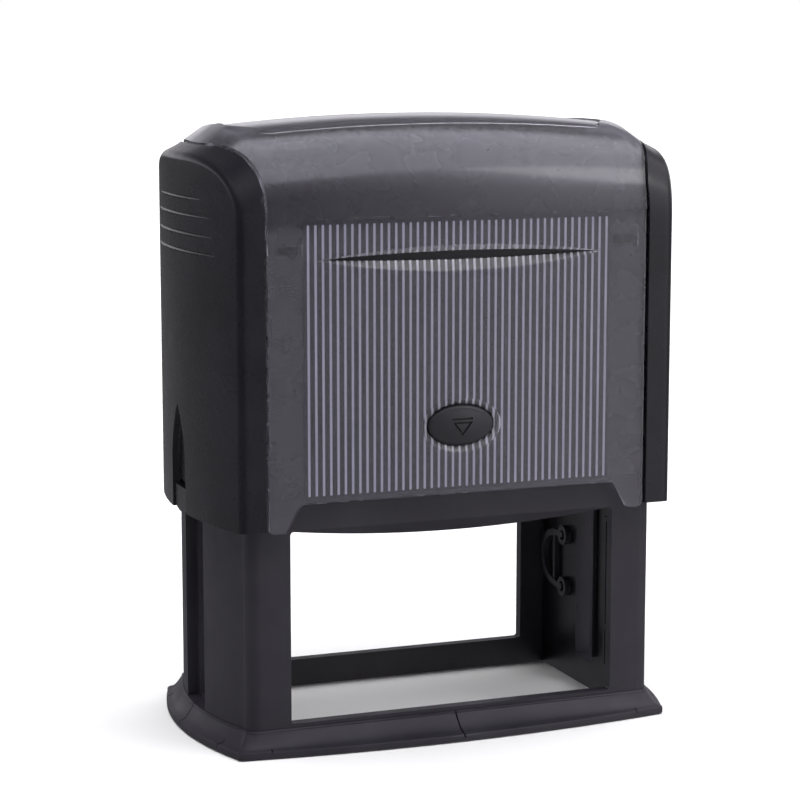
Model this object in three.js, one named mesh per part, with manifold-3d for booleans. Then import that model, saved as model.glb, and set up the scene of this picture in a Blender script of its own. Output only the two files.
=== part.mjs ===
// Self-inking hand stamp with a flipping die plate, as an assembly of its separate pieces.
// Millimetres, +Z up. X runs along the long side, Y from the front (-Y) to the rear (+Y).
// The origin is the centre of the footprint, on the plane of the paper. Everything is drawn at rest:
// housing up, die plate turned up against the ink pad.
import * as THREE from "three";
import { mergeVertices } from "three/addons/utils/BufferGeometryUtils.js";
import Module from "manifold-3d";

const wasm = await Module();
wasm.setup();

// ---- driving dimensions ----
const GAP = 0.3; // running or seating gap between neighbouring pieces
const EPS = 1; // how far a cutting tool runs past the face it opens
const BITE = 0.3; // how far an added detail sinks into the wall it stands on
const FAR = 60; // beyond every piece, for tools that cut right through

const STROKE = 41; // travel of the housing from rest to a full press
const AXLE_Z = 51.5; // die plate's axle at rest
const DIE_FACE = AXLE_Z - STROKE; // axle to printing face, so that the face meets the paper at full press
const PAD_CLEARANCE = 0.6; // printing face to pad at rest
const PAD_Z = AXLE_Z + DIE_FACE + PAD_CLEARANCE; // underside of the ink pad

const PRINT_X = 75; // rubber sheet
const PRINT_Y = 38;

const FRAME_X = 45.2; // frame, half length at the corners
const FRAME_Y = 24.9; // frame, half depth
const FRAME_BULGE = 4; // how far the frame's end walls bow out
const FRAME_TOP = 70.4;
const DECK = 1.9; // thickness of the frame's top deck
const DECK_FLAT_Y = 18.5; // the deck's long edges slope down from here
const DECK_SLOPE_Y = 26; // to here
const DECK_SLOPE_Z = 64.2;
const INNER_X = 41.6; // inside faces of the frame
const INNER_Y = 22.5;
const WINDOW_X = 35.95; // front and rear windows, half length
const STRAP_Z = 6.05; // top of the straps under the windows
const BEAM_Z = 46; // underside of the crossbeams, at their ends
const BEAM_SAG = 2.5; // how much lower the crossbeams hang at the middle
const BEAM_TOP = 60.5; // cartridge window starts here
const CARTRIDGE_WINDOW_X = 40; // cartridge window, half length
const BASE_X = 48; // base flange, half length at the corners
const BASE_Y = 27.3;
const BASE_BULGE_X = 4.7;
const BASE_BULGE_Y = 3.4;
const BASE_EDGE = 1.7; // height of the flange's upright rim
const BASE_H = 5.2; // where the flange meets the frame
const GROOVE_Y = 6.4; // vertical channel down the outside of each end wall, half width
const GROOVE_X = 46.6; // floor of that channel
const SLOT_Y = 4.4; // axle slot through each end wall, half width
const SLOT_TOP = AXLE_Z + 4.8;
const LOCK_CHANNEL_X = 13; // shallow channel up each crossbeam, half width
const LOCK_CHANNEL_Z = 52.5;
const LOCK_CHANNEL_DEPTH = 0.9;
const NOTCH_X = 4; // notch that the lock button drops into, half width
const NOTCH_LOW = 53.4;
const NOTCH_HIGH = 55.2;
const NOTCH_DEPTH = 1.5;

const HOUSING_X = 47.3; // housing, half length at the corners
const HOUSING_Y = 28.5; // housing and cover, half depth
const HOUSING_BULGE = 4.8;
const HOUSING_SETBACK = 0.3; // end cheeks stand this far behind the cover's face
const HOUSING_Z = 47.1; // lower edge of the housing at rest
const SPRING_LINE = 106; // height at which the upright walls turn into the dome
const CROWN_Z = 129.2; // top of the dome, before its panel is sunk
const SHOULDER_X = 42.5; // the low arch along X ends here and the bevelled shoulder starts
const SHOULDER_Z = 126.8;
const SEAM_Z = 123.3; // ridge where the cover meets the end cheeks
const END_TOP_Z = 121; // ridge at the far ends of the cheeks
const DOME_POWER = 2.6; // exponent of the dome's section, a superellipse
const COVER_X = 41.3; // clear cover, half length at the front face
const COVER_BULGE = 6.2; // how far its ends bow out at the middle
const COVER_WALL = 1.2;
const PANEL_X = 38; // sunk panel along the top, half length at its corners
const PANEL_Y = 14;
const PANEL_BULGE = 4.2;
const PANEL_DEPTH = 0.4;
const COVER_CUT_X = 34.8; // cut-out between the cover's legs, half length
const COVER_CUT_Z = 52.1;
const LEG_X = 38; // inner edge of the legs at their tips
const LEG_TIP_Z = 46.4;
const LENS_X = 31.3; // finger slot across the cover, half length
const LENS_Z = 100.9; // height of its pointed ends
const LENS_RISE = 2.3; // how far it opens above them at the middle
const LENS_SAG = 3; // and below them
const CORE_INSET = 2.2; // housing wall behind the cover, measured in from the cover's face
const CAVITY_INSET = 3.3;
const CAVITY_X = 45.6; // room inside the housing, half length at the corners
const CAVITY_BULGE = 4.4;

const BUTTON_Z = 66.2;
const BUTTON_X = 7.2; // visible oval, half length
const BUTTON_H = 4.15; // visible oval, half height
const BUTTON_HOLE = [7.7, 4.65]; // hole in the cover, half length and half height
const BUTTON_DISH = [8.7, 5.5]; // dished ring around that hole
const BUTTON_FLANGE = [8.8, 5.7]; // hidden collar that keeps the button in
const BUTTON_WINDOW = [9.5, 6.3]; // window in the housing wall
const CARD_HOLE = [9.6, 6.4];

const AXLE_R = 1.5;
const PIN_TIP_X = 36.4; // inner ends of the axle pins
const BOSS_R = 4;
const YOKE_Z = 120.2; // underside of the yoke's beam
const YOKE_BEAM = 1.2; // and its thickness
const YOKE_LEG_NEAR = 47; // inner and outer faces of the yoke's legs
const YOKE_LEG_FAR = 49.2;
const SPRING_X = 24; // return springs, distance from the middle
const SPRING_R = 5.5; // coil radius to the middle of the wire
const SPRING_PEG_R = 3.6; // pegs that keep the springs' ends in place
const WIRE_R = 0.45;
const SPRING_TURNS = 7.5;

// ---- materials ----
const satin = (colour, roughness = 0.45, metalness = 0) =>
  new THREE.MeshStandardMaterial({ color: colour, roughness, metalness });
const blackPlastic = satin(0x2b2a2e, 0.42);
const innerPlastic = satin(0x1f1f22, 0.55);
const glossBlack = satin(0x141416, 0.18);
const smokeClear = new THREE.MeshStandardMaterial({
  color: 0x55555e, roughness: 0.2, transparent: true, opacity: 0.55,
});
const cardStock = satin(0x3a3a40, 0.8);
const steel = satin(0xb9bcc0, 0.3, 1);
const greyPlastic = satin(0x6a6a70, 0.5);
const foam = satin(0x8d8d92, 0.95);
const inkFelt = satin(0x1a1a26, 0.95);
const rubber = satin(0x7c3a2c, 0.7);

// ---- solids and booleans ----
function solid(geometry) {
  const g = geometry.index ? geometry.clone() : geometry;
  g.deleteAttribute("normal");
  g.deleteAttribute("uv");
  const merged = mergeVertices(g, 1e-4);
  return new wasm.Manifold(new wasm.Mesh({
    numProp: 3,
    vertProperties: new Float32Array(merged.attributes.position.array),
    triVerts: new Uint32Array(merged.index.array),
  }));
}

function geometryOf(body) {
  const m = body.getMesh();
  const g = new THREE.BufferGeometry();
  g.setAttribute("position", new THREE.BufferAttribute(new Float32Array(m.vertProperties), 3));
  g.setIndex(new THREE.BufferAttribute(new Uint32Array(m.triVerts), 1));
  g.computeVertexNormals();
  return g;
}

const join = (first, ...rest) => rest.reduce((sum, piece) => sum.add(piece), first);
const cut = (body, ...tools) => tools.reduce((left, tool) => left.subtract(tool), body);

function box(x0, x1, y0, y1, z0, z1) {
  const g = new THREE.BoxGeometry(x1 - x0, y1 - y0, z1 - z0);
  return solid(g.translate((x0 + x1) / 2, (y0 + y1) / 2, (z0 + z1) / 2));
}

function extruded(shape, depth, segments = 12) {
  return new THREE.ExtrudeGeometry(shape, { depth, bevelEnabled: false, curveSegments: segments });
}

// A shape drawn in (x, y), raised from z0 to z1.
function prismZ(shape, z0, z1, segments) {
  return solid(extruded(shape, z1 - z0, segments).translate(0, 0, z0));
}

// A shape drawn in (x, z), run from y0 to y1.
function prismY(shape, y0, y1, segments) {
  return solid(extruded(shape, y1 - y0, segments).rotateX(Math.PI / 2).translate(0, y1, 0));
}

// A shape drawn in (y, z), run from x0 to x1.
function prismX(shape, x0, x1, segments) {
  const g = extruded(shape, x1 - x0, segments);
  g.rotateX(Math.PI / 2).rotateZ(Math.PI / 2);
  return solid(g.translate(x0, 0, 0));
}

function polygon(points) {
  return new THREE.Shape(points.map(([a, b]) => new THREE.Vector2(a, b)));
}

function oval(halfA, halfB, a = 0, b = 0) {
  const s = new THREE.Shape();
  s.absellipse(a, b, halfA, halfB, 0, Math.PI * 2);
  return s;
}

function rectangle(a0, a1, b0, b1) {
  return polygon([[a0, b0], [a1, b0], [a1, b1], [a0, b1]]);
}

function roundZ(r, x, y, z0, z1, segments = 16) {
  return prismZ(oval(r, r, x, y), z0, z1, segments);
}

const bothSides = (make) => [make(-1), make(1)];

// A shape drawn in (x, z), run between two distances from the middle plane Y = 0, at the front or the rear.
const faceRun = (side, shape, near, far, segments) =>
  (side < 0 ? prismY(shape, -far, -near, segments) : prismY(shape, near, far, segments));

// A shape drawn in (y, z), run between two distances from the middle plane X = 0, at the left or right end.
const endRun = (side, shape, near, far, segments) =>
  (side < 0 ? prismX(shape, -far, -near, segments) : prismX(shape, near, far, segments));

const endBox = (side, near, far, y0, y1, z0, z1) => endRun(side, rectangle(y0, y1, z0, z1), near, far);
const endRound = (side, r, near, far, y, z, segments = 18) =>
  endRun(side, oval(r, r, y, z), near, far, segments);

// Rectangle whose sides bow out by bulgeX and bulgeY at their middles, with eased corners.
function bowedRectangle(x, y, bulgeX, bulgeY, r) {
  const s = new THREE.Shape();
  s.moveTo(-x + r, -y);
  s.quadraticCurveTo(0, -y - 2 * bulgeY, x - r, -y);
  s.quadraticCurveTo(x, -y, x, -y + r);
  s.quadraticCurveTo(x + 2 * bulgeX, 0, x, y - r);
  s.quadraticCurveTo(x, y, x - r, y);
  s.quadraticCurveTo(0, y + 2 * bulgeY, -x + r, y);
  s.quadraticCurveTo(-x, y, -x, y - r);
  s.quadraticCurveTo(-x - 2 * bulgeX, 0, -x, -y + r);
  s.quadraticCurveTo(-x, -y, -x + r, -y);
  return s;
}

// Closed body through matching rings of points. The first and last rings are capped: in the plane of the
// two axes given (0, 1 and 2 for x, y and z), or with a simple fan, which is enough for a convex ring.
function loft(rings, axes) {
  const n = rings[0].length;
  const positions = rings.flat(2);
  const index = [];
  for (let k = 0; k + 1 < rings.length; k++) {
    for (let i = 0; i < n; i++) {
      const a = k * n + i;
      const b = k * n + ((i + 1) % n);
      index.push(a, b, b + n, a, b + n, a + n);
    }
  }
  const fan = Array.from({ length: n - 2 }, (_, i) => [0, i + 1, i + 2]);
  const flatten = (ring) => ring.map((p) => new THREE.Vector2(p[axes[0]], p[axes[1]]));
  const trianglesOf = (ring) => (axes ? THREE.ShapeUtils.triangulateShape(flatten(ring), []) : fan);
  const last = (rings.length - 1) * n;
  for (const [a, b, c] of trianglesOf(rings[0])) index.push(a, c, b);
  for (const [a, b, c] of trianglesOf(rings.at(-1))) index.push(last + a, last + b, last + c);
  const g = new THREE.BufferGeometry();
  g.setAttribute("position", new THREE.BufferAttribute(new Float32Array(positions), 3));
  g.setIndex(index);
  return solid(g);
}

// ---- outer form of the housing and cover ----
const SEAM_X = COVER_X + COVER_BULGE;
const END_X = HOUSING_X + HOUSING_BULGE;

// Height of the dome's ridge at x: a low arch, a bevelled shoulder, then the end cheeks.
function ridge(x) {
  const a = Math.abs(x);
  const slide = (x0, z0, x1, z1) => z0 + ((z1 - z0) * (a - x0)) / (x1 - x0);
  if (a <= SHOULDER_X) return CROWN_Z - (CROWN_Z - SHOULDER_Z) * (a / SHOULDER_X) ** 2;
  if (a <= SEAM_X) return slide(SHOULDER_X, SHOULDER_Z, SEAM_X, SEAM_Z);
  return slide(SEAM_X, SEAM_Z, END_X, END_TOP_Z);
}

// Upright block inside the seam between the cover and the cheeks, grown by the given amount. The seam is
// straight where it crosses the front and rear faces, and bows out between them.
function insideSeam(grow) {
  const x = COVER_X + grow;
  const deep = HOUSING_Y + EPS;
  const flat = HOUSING_Y - COVER_WALL;
  const s = new THREE.Shape();
  s.moveTo(-x, -deep);
  s.lineTo(x, -deep);
  s.lineTo(x, -flat);
  s.quadraticCurveTo(x + 2 * COVER_BULGE, 0, x, flat);
  s.lineTo(x, deep);
  s.lineTo(-x, deep);
  s.lineTo(-x, flat);
  s.quadraticCurveTo(-x - 2 * COVER_BULGE, 0, -x, -flat);
  return prismZ(s, 0, CROWN_Z + EPS, 12);
}

// The domed block from zBottom up, between x = -halfX and halfX, every face moved in by inset.
function dome(inset, halfX, zBottom) {
  const steps = 14; // facets from front to rear
  const arch = [32, 21, 10]; // sections that follow the low arch
  const stations = [SEAM_X, SHOULDER_X, ...arch].filter((x) => x < halfX);
  const xs = [-halfX, ...stations.map((x) => -x), ...stations.toReversed(), halfX];
  const depth = HOUSING_Y - inset;
  return loft(xs.map((x) => {
    const ring = [[x, -depth, zBottom], [x, depth, zBottom]];
    for (let i = 0; i <= steps; i++) {
      const t = Math.PI * (0.5 - i / steps);
      const across = Math.sign(t) * Math.abs(Math.sin(t)) ** (2 / DOME_POWER);
      const rise = Math.max(Math.cos(t), 0) ** (2 / DOME_POWER);
      ring.push([x, depth * across, SPRING_LINE + (ridge(x) - inset - SPRING_LINE) * rise]);
    }
    return ring;
  }), [1, 2]);
}

const meshes = new THREE.Group();
function add(name, body, material) {
  const mesh = new THREE.Mesh(geometryOf(body), material);
  mesh.name = name;
  meshes.add(mesh);
}

// ---- frame: base flange, end walls, corner posts, straps, crossbeams and top deck in one moulding ----

// Raised cam outline inside an end wall, beside the axle slot: a D with an eye at both ends of its bow.
function camOutline(side) {
  const face = INNER_X - 1.4; // the outline's inner face
  const eyeY = 9.3; // the eyes stand here, one at each height
  const [low, high] = [20.8, 32.7];
  const middle = (low + high) / 2;
  const arm = 0.6; // half thickness of the bow where it leaves an eye
  const [outer, inner] = [20.4, 19]; // furthest reach of the bow's outline
  const ease = 0.4; // how much nearer the bow's corners are than its middle
  const [outerFlare, innerFlare] = [1.5, 0.2]; // height of its corners past the eyes
  const bow = new THREE.Shape();
  bow.moveTo(eyeY, low - arm);
  bow.quadraticCurveTo(outer - ease, low - outerFlare, outer, middle);
  bow.quadraticCurveTo(outer - ease, high + outerFlare, eyeY, high + arm);
  bow.lineTo(eyeY, high - arm);
  bow.quadraticCurveTo(inner - ease, high - innerFlare, inner, middle);
  bow.quadraticCurveTo(inner - ease, low + innerFlare, eyeY, low + arm);
  const [eyeR, eyeBore] = [2.2, 1.2];
  const eye = (z) => endRound(side, eyeR, face, INNER_X + BITE, eyeY, z, 12)
    .subtract(endRound(side, eyeBore, face - EPS, INNER_X, eyeY, z, 16));
  const [barNear, barFar] = [13.4, 14.4]; // upright bar across the D
  const bar = endBox(side, face + 0.2, INNER_X + BITE, barNear, barFar, low, high);
  return join(endRun(side, bow, face, INNER_X + BITE), eye(low), eye(high), bar);
}

// Guide ribs inside an end wall: two uprights, and two ledges that stand out from the second.
function guideRibs(side) {
  const face = INNER_X - 1;
  const foot = 8;
  const rib = (y0, y1, z0, z1) => endBox(side, face, INNER_X + BITE, y0, y1, z0, z1);
  const [slotRibNear, slotRibFar] = [SLOT_Y + 0.4, SLOT_Y + 1.6];
  const [railNear, railFar, ledgeFar] = [11.2, 12.2, 17];
  const railTop = 41;
  return join(
    rib(-slotRibFar, -slotRibNear, foot, 44),
    rib(-railFar, -railNear, foot, railTop),
    rib(-ledgeFar, -railNear, 16, 17),
    rib(-ledgeFar, -railNear, railTop - 1, railTop));
}

function makeFrame() {
  const corner = 3;
  const segments = 10;
  const ringAt = (shape, z) => shape.getPoints(segments).slice(0, -1).map((p) => [p.x, p.y, z]);
  const rim = bowedRectangle(BASE_X, BASE_Y, BASE_BULGE_X, BASE_BULGE_Y, corner);
  const foot = bowedRectangle(FRAME_X, FRAME_Y, FRAME_BULGE, 0, corner);
  const flange = loft([ringAt(rim, 0), ringAt(rim, BASE_EDGE), ringAt(foot, BASE_H)], [0, 1]);
  const walls = prismZ(foot, 0, FRAME_TOP, segments);

  const hollow = box(-INNER_X, INNER_X, -INNER_Y, INNER_Y, -EPS, FRAME_TOP - DECK);
  const arch = new THREE.Shape();
  arch.moveTo(-WINDOW_X, STRAP_Z);
  arch.lineTo(WINDOW_X, STRAP_Z);
  arch.lineTo(WINDOW_X, BEAM_Z);
  arch.quadraticCurveTo(0, BEAM_Z - 2 * BEAM_SAG, -WINDOW_X, BEAM_Z);
  const windows = prismY(arch, -FAR, FAR, 16);
  const cartridgeWindow = box(-CARTRIDGE_WINDOW_X, CARTRIDGE_WINDOW_X, -FAR, FAR, BEAM_TOP, FRAME_TOP - DECK);

  // The deck's long edges slope down so that they clear the dome when the housing is pressed.
  const slope = polygon([[DECK_FLAT_Y, FRAME_TOP + EPS], [DECK_FLAT_Y, FRAME_TOP],
    [DECK_SLOPE_Y, DECK_SLOPE_Z], [DECK_SLOPE_Y, FRAME_TOP + EPS]]);
  const slopes = prismX(slope, -FAR, FAR);
  const grooves = bothSides((s) => endBox(s, GROOVE_X, FAR, -GROOVE_Y, GROOVE_Y, BASE_H, FRAME_TOP + EPS));
  const slots = bothSides((s) =>
    endBox(s, INNER_X - BITE, GROOVE_X + EPS, -SLOT_Y, SLOT_Y, STRAP_Z, SLOT_TOP));

  // Shallow channel up the middle of each crossbeam, with the notch that the lock button drops into.
  const lockChannel = (s) => {
    const channel = rectangle(-LOCK_CHANNEL_X, LOCK_CHANNEL_X, LOCK_CHANNEL_Z, FRAME_TOP + EPS);
    const notch = rectangle(-NOTCH_X, NOTCH_X, NOTCH_LOW, NOTCH_HIGH);
    return faceRun(s, channel, FRAME_Y - LOCK_CHANNEL_DEPTH, FRAME_Y + EPS)
      .add(faceRun(s, notch, FRAME_Y - NOTCH_DEPTH, FRAME_Y + EPS));
  };
  const shell = cut(join(walls, flange), hollow, windows, cartridgeWindow, slopes,
    slopes.mirror([0, 1, 0]), ...grooves, ...slots, ...bothSides(lockChannel));

  // Ledges that carry the ink cartridge, and pegs for the return springs.
  const [ledgeX, ledgeY, ledgeLow, ledgeHigh] = [38.8, 21.5, 62.4, 63.1];
  const ledges = bothSides((s) => endBox(s, ledgeX, INNER_X + BITE, -ledgeY, ledgeY, ledgeLow, ledgeHigh));
  const pegHeight = 3;
  const pegs = bothSides((s) =>
    roundZ(SPRING_PEG_R, s * SPRING_X, 0, FRAME_TOP - BITE, FRAME_TOP + pegHeight));
  const details = [...ledges, ...pegs, ...bothSides(camOutline), ...bothSides(guideRibs)];
  add("frame", join(shell, ...details), blackPlastic);
}

// ---- ink cartridge ----
function makeCartridge() {
  const [trayX, trayY] = [39.5, 21.6];
  const [tabX, tabY, tabStep] = [18, 23.3, 0.8]; // finger tabs at the front and rear
  const wallX = 1.2;
  const wallY = 1.4;
  const roof = 1.4;
  const low = PAD_Z + 0.8; // the pad stands this much out of its tray
  const high = FRAME_TOP - DECK - 0.5; // slides in under the deck
  const [pocketX, pocketY] = [trayX - wallX, trayY - wallY];
  const pocket = box(-pocketX, pocketX, -pocketY, pocketY, low - EPS, high - roof);
  const tray = join(box(-trayX, trayX, -trayY, trayY, low, high),
    box(-tabX, tabX, -tabY, tabY, low + tabStep, high - 2 * tabStep));
  add("cartridge_tray", cut(tray, pocket), innerPlastic);
  const [padX, padY] = [pocketX - GAP, pocketY - GAP];
  add("ink_pad", box(-padX, padX, -padY, padY, PAD_Z, high - roof - GAP), inkFelt);
}

// ---- die plate: carrier, foam cushion and rubber, turned up at rest ----
function makeDie() {
  const [plateX, plateY] = [38.9, 20];
  const plateLow = AXLE_Z + 4.6;
  const plateTop = AXLE_Z + 6.9;
  const sink = 0.5; // how far ribs and lugs reach into the plate
  const [lugR, lugNear] = [7.9, 35.9];
  const bossFar = 46.3;
  const [noseR, noseY, noseFar] = [0.9, 6.5, 40.6]; // cam followers on both sides of the axle
  const lugs = bothSides((s) => {
    const lug = endRound(s, lugR, lugNear, plateX, 0, AXLE_Z, 24)
      .subtract(box(-FAR, FAR, -FAR, FAR, plateTop - sink, FAR + AXLE_Z));
    const boss = endRound(s, BOSS_R, plateX - 1, bossFar, 0, AXLE_Z);
    const noses = [-noseY, noseY].map((y) => endRound(s, noseR, plateX - 1, noseFar, y, AXLE_Z, 8));
    return join(lug, boss, ...noses);
  });
  const bores = bothSides((s) => endRound(s, AXLE_R + GAP, PIN_TIP_X - 2, bossFar + EPS, 0, AXLE_Z));

  // A lengthwise spine with tapering cross ribs stiffens the plate.
  const [spineX, spineY, spineDrop] = [36.5, 1.2, 2];
  const spine = box(-spineX, spineX, -spineY, spineY, AXLE_Z - spineDrop, plateLow + sink);
  const [ribY, ribTipY, ribEdge, ribHalf, ribPitch] = [17, 1, 0.6, 0.7, 12];
  const ribShape = polygon([[-ribY, plateLow + sink], [-ribY, plateLow - ribEdge], [-ribTipY, AXLE_Z - 1],
    [ribTipY, AXLE_Z - 1], [ribY, plateLow - ribEdge], [ribY, plateLow + sink]]);
  const crossRibs = [-2, -1, 0, 1, 2].map((k) =>
    prismX(ribShape, k * ribPitch - ribHalf, k * ribPitch + ribHalf));
  const plate = prismZ(bowedRectangle(plateX, plateY, 0, 0, 1), plateLow, plateTop, 4);
  add("die_plate", cut(join(plate, spine, ...crossRibs, ...lugs), ...bores), greyPlastic);

  const foamLow = plateTop + GAP;
  const foamTop = foamLow + 1;
  const [foamX, foamY] = [PRINT_X / 2 + 0.5, PRINT_Y / 2 + 0.3];
  add("die_cushion", prismZ(bowedRectangle(foamX, foamY, 0, 0, 1), foamLow, foamTop, 4), foam);

  // Rubber sheet with a raised blank pattern: a border and four plain bars.
  const face = AXLE_Z + DIE_FACE;
  const relief = 1.1;
  const root = face - relief - 0.2; // raised shapes start just inside the sheet
  const sheet = prismZ(bowedRectangle(PRINT_X / 2, PRINT_Y / 2, 0, 0, 1), foamTop + GAP, face - relief, 4);
  const [bx, by, line] = [34.5, 16.2, 1];
  const border = box(-bx, bx, -by, by, root, face)
    .subtract(box(-bx + line, bx - line, -by + line, by - line, root - EPS, face + EPS));
  const [barPitch, barHalf, barMargin] = [7, 1.3, 5];
  const bars = [0, 1, 2, 3].map((i) => {
    const y = (i - 1.5) * barPitch;
    return box(-bx + barMargin, bx - barMargin - i * barPitch, y - barHalf, y + barHalf, root, face);
  });
  add("rubber_die", join(sheet, border, ...bars), rubber);
}

// ---- housing: the opaque shell that slides over the frame ----
function makeHousing() {
  const plan = bowedRectangle(HOUSING_X, HOUSING_Y - HOUSING_SETBACK, HOUSING_BULGE, 0, 2);
  const cheeks = dome(0, END_X + EPS, HOUSING_Z)
    .intersect(prismZ(plan, HOUSING_Z, CROWN_Z, 10))
    .subtract(insideSeam(GAP));
  const core = dome(CORE_INSET, SEAM_X + 2, COVER_CUT_Z + 1).intersect(insideSeam(1));
  const roomPlan = bowedRectangle(CAVITY_X, HOUSING_Y - CAVITY_INSET, CAVITY_BULGE, 0, 2.6);
  const room = dome(CAVITY_INSET, END_X + EPS, HOUSING_Z - EPS)
    .intersect(prismZ(roomPlan, HOUSING_Z - EPS, CROWN_Z, 10));

  // Window for each lock button's flange, and the open pocket that holds the ends of its spring.
  const [pocketX, pocketH, pocketNear, wallNear, wallFar] = [12.3, 2, 25.6, 24, 28];
  const pocket = rectangle(-pocketX, pocketX, BUTTON_Z - pocketH, BUTTON_Z + pocketH);
  const buttonCuts = bothSides((s) => faceRun(s, oval(...BUTTON_WINDOW, 0, BUTTON_Z), wallNear, wallFar, 16)
    .add(faceRun(s, pocket, pocketNear, wallFar)));

  // Arched recess low on the outside of each end.
  const [recessY, recessSide, recessTop, recessFloor] = [4.6, 60, 69.4, 51];
  const recess = new THREE.Shape();
  recess.moveTo(-recessY, HOUSING_Z - EPS);
  recess.lineTo(recessY, HOUSING_Z - EPS);
  recess.lineTo(recessY, recessSide);
  recess.quadraticCurveTo(recessY - 0.4, recessTop - 3.4, 0, recessTop);
  recess.quadraticCurveTo(-recessY + 0.4, recessTop - 3.4, -recessY, recessSide);
  const recesses = bothSides((s) => endRun(s, recess, recessFloor, END_X + EPS));

  add("housing_shell", cut(join(cheeks, core), room, ...buttonCuts, ...recesses), blackPlastic);
}

// ---- yoke: the bridge inside the housing that carries the die's axle and takes the springs ----
function makeYoke() {
  const foot = HOUSING_Z + 0.4;
  const top = YOKE_Z + YOKE_BEAM;
  const halfWidth = 5.9;
  const beamX = 36; // the straight beam ends here and the sloping shoulders start
  // Right half of the bridge: down the inside of its shoulder and leg, and back up the outside.
  const right = [[beamX, YOKE_Z], [40.3, 117.2], [YOKE_LEG_NEAR, 115.2], [YOKE_LEG_NEAR, foot],
    [YOKE_LEG_FAR, foot], [YOKE_LEG_FAR, 115.9], [41, 118.4], [beamX, top]];
  const left = right.map(([x, z]) => [-x, z]).toReversed();
  const bridge = prismY(polygon([...right, ...left]), -halfWidth, halfWidth);
  const [pegDrop, discR] = [5, 7.2];
  const pegs = bothSides((s) => roundZ(SPRING_PEG_R, s * SPRING_X, 0, YOKE_Z - pegDrop, YOKE_Z + BITE));
  const discs = bothSides((s) => roundZ(discR, s * SPRING_X, 0, YOKE_Z, top));
  const holes = bothSides((s) =>
    endRound(s, AXLE_R + GAP, YOKE_LEG_NEAR - EPS, YOKE_LEG_FAR + EPS, 0, AXLE_Z));
  add("die_yoke", cut(join(bridge, ...pegs, ...discs), ...holes), innerPlastic);
}

function makeAxlePins() {
  for (const [name, side] of [["axle_pin_left", -1], ["axle_pin_right", 1]]) {
    add(name, endRound(side, AXLE_R, PIN_TIP_X, YOKE_LEG_FAR, 0, AXLE_Z, 20), steel);
  }
}

// ---- clear cover: one sheet over the front, top and rear ----
function makeCover() {
  const outer = dome(0, SEAM_X + EPS, LEG_TIP_Z).intersect(insideSeam(0));
  const inner = dome(COVER_WALL, SEAM_X + 2 * EPS, LEG_TIP_Z - EPS);
  const cutOut = polygon([[-COVER_CUT_X, COVER_CUT_Z], [COVER_CUT_X, COVER_CUT_Z], [LEG_X, LEG_TIP_Z - EPS],
    [-LEG_X, LEG_TIP_Z - EPS]]);
  // Lens-shaped finger slot that lifts the cover off its card.
  const lens = new THREE.Shape();
  lens.moveTo(-LENS_X, LENS_Z);
  lens.quadraticCurveTo(0, LENS_Z + 2 * LENS_RISE, LENS_X, LENS_Z);
  lens.quadraticCurveTo(0, LENS_Z - 2 * LENS_SAG, -LENS_X, LENS_Z);
  const shell = cut(outer, inner, prismY(cutOut, -FAR, FAR), prismY(lens, -FAR, FAR, 16),
    prismY(oval(...BUTTON_HOLE, 0, BUTTON_Z), -FAR, FAR, 20));
  // The button openings are dished on the outside.
  const dishDepth = 0.5;
  const dishes = bothSides((s) =>
    faceRun(s, oval(...BUTTON_DISH, 0, BUTTON_Z), HOUSING_Y - dishDepth, HOUSING_Y + EPS, 20));
  // Shallow sunk panel along the top.
  const panelPlan = bowedRectangle(PANEL_X, PANEL_Y, PANEL_BULGE, 0, 2.5);
  const panel = prismZ(panelPlan, SEAM_Z, CROWN_Z + EPS, 6)
    .subtract(dome(PANEL_DEPTH, SEAM_X, SPRING_LINE - EPS));
  add("clear_cover", cut(shell, ...dishes, panel), smokeClear);
}

// ---- index cards behind the cover ----
function makeCards() {
  const [cardX, cardLow, cardHigh] = [33.6, 53.6, 108.4];
  const outside = 1.6; // distance of a card's printed side behind the cover's face
  const inside = 1.9;
  const flat = rectangle(-cardX, cardX, cardLow, cardHigh);
  const opening = prismY(oval(...CARD_HOLE, 0, BUTTON_Z), -FAR, FAR, 20);
  for (const [name, side] of [["front_index_card", -1], ["rear_index_card", 1]]) {
    const sheet = faceRun(side, flat, HOUSING_Y - inside, HOUSING_Y - outside);
    add(name, cut(sheet, opening), cardStock);
  }
  const [topX, topY] = [36, 12.5];
  const strip = dome(outside, topX, SPRING_LINE - EPS)
    .subtract(dome(inside, topX + EPS, SPRING_LINE - 2 * EPS))
    .intersect(box(-topX, topX, -topY, topY, END_TOP_Z - EPS, CROWN_Z));
  add("top_index_card", strip, cardStock);
}

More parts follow.
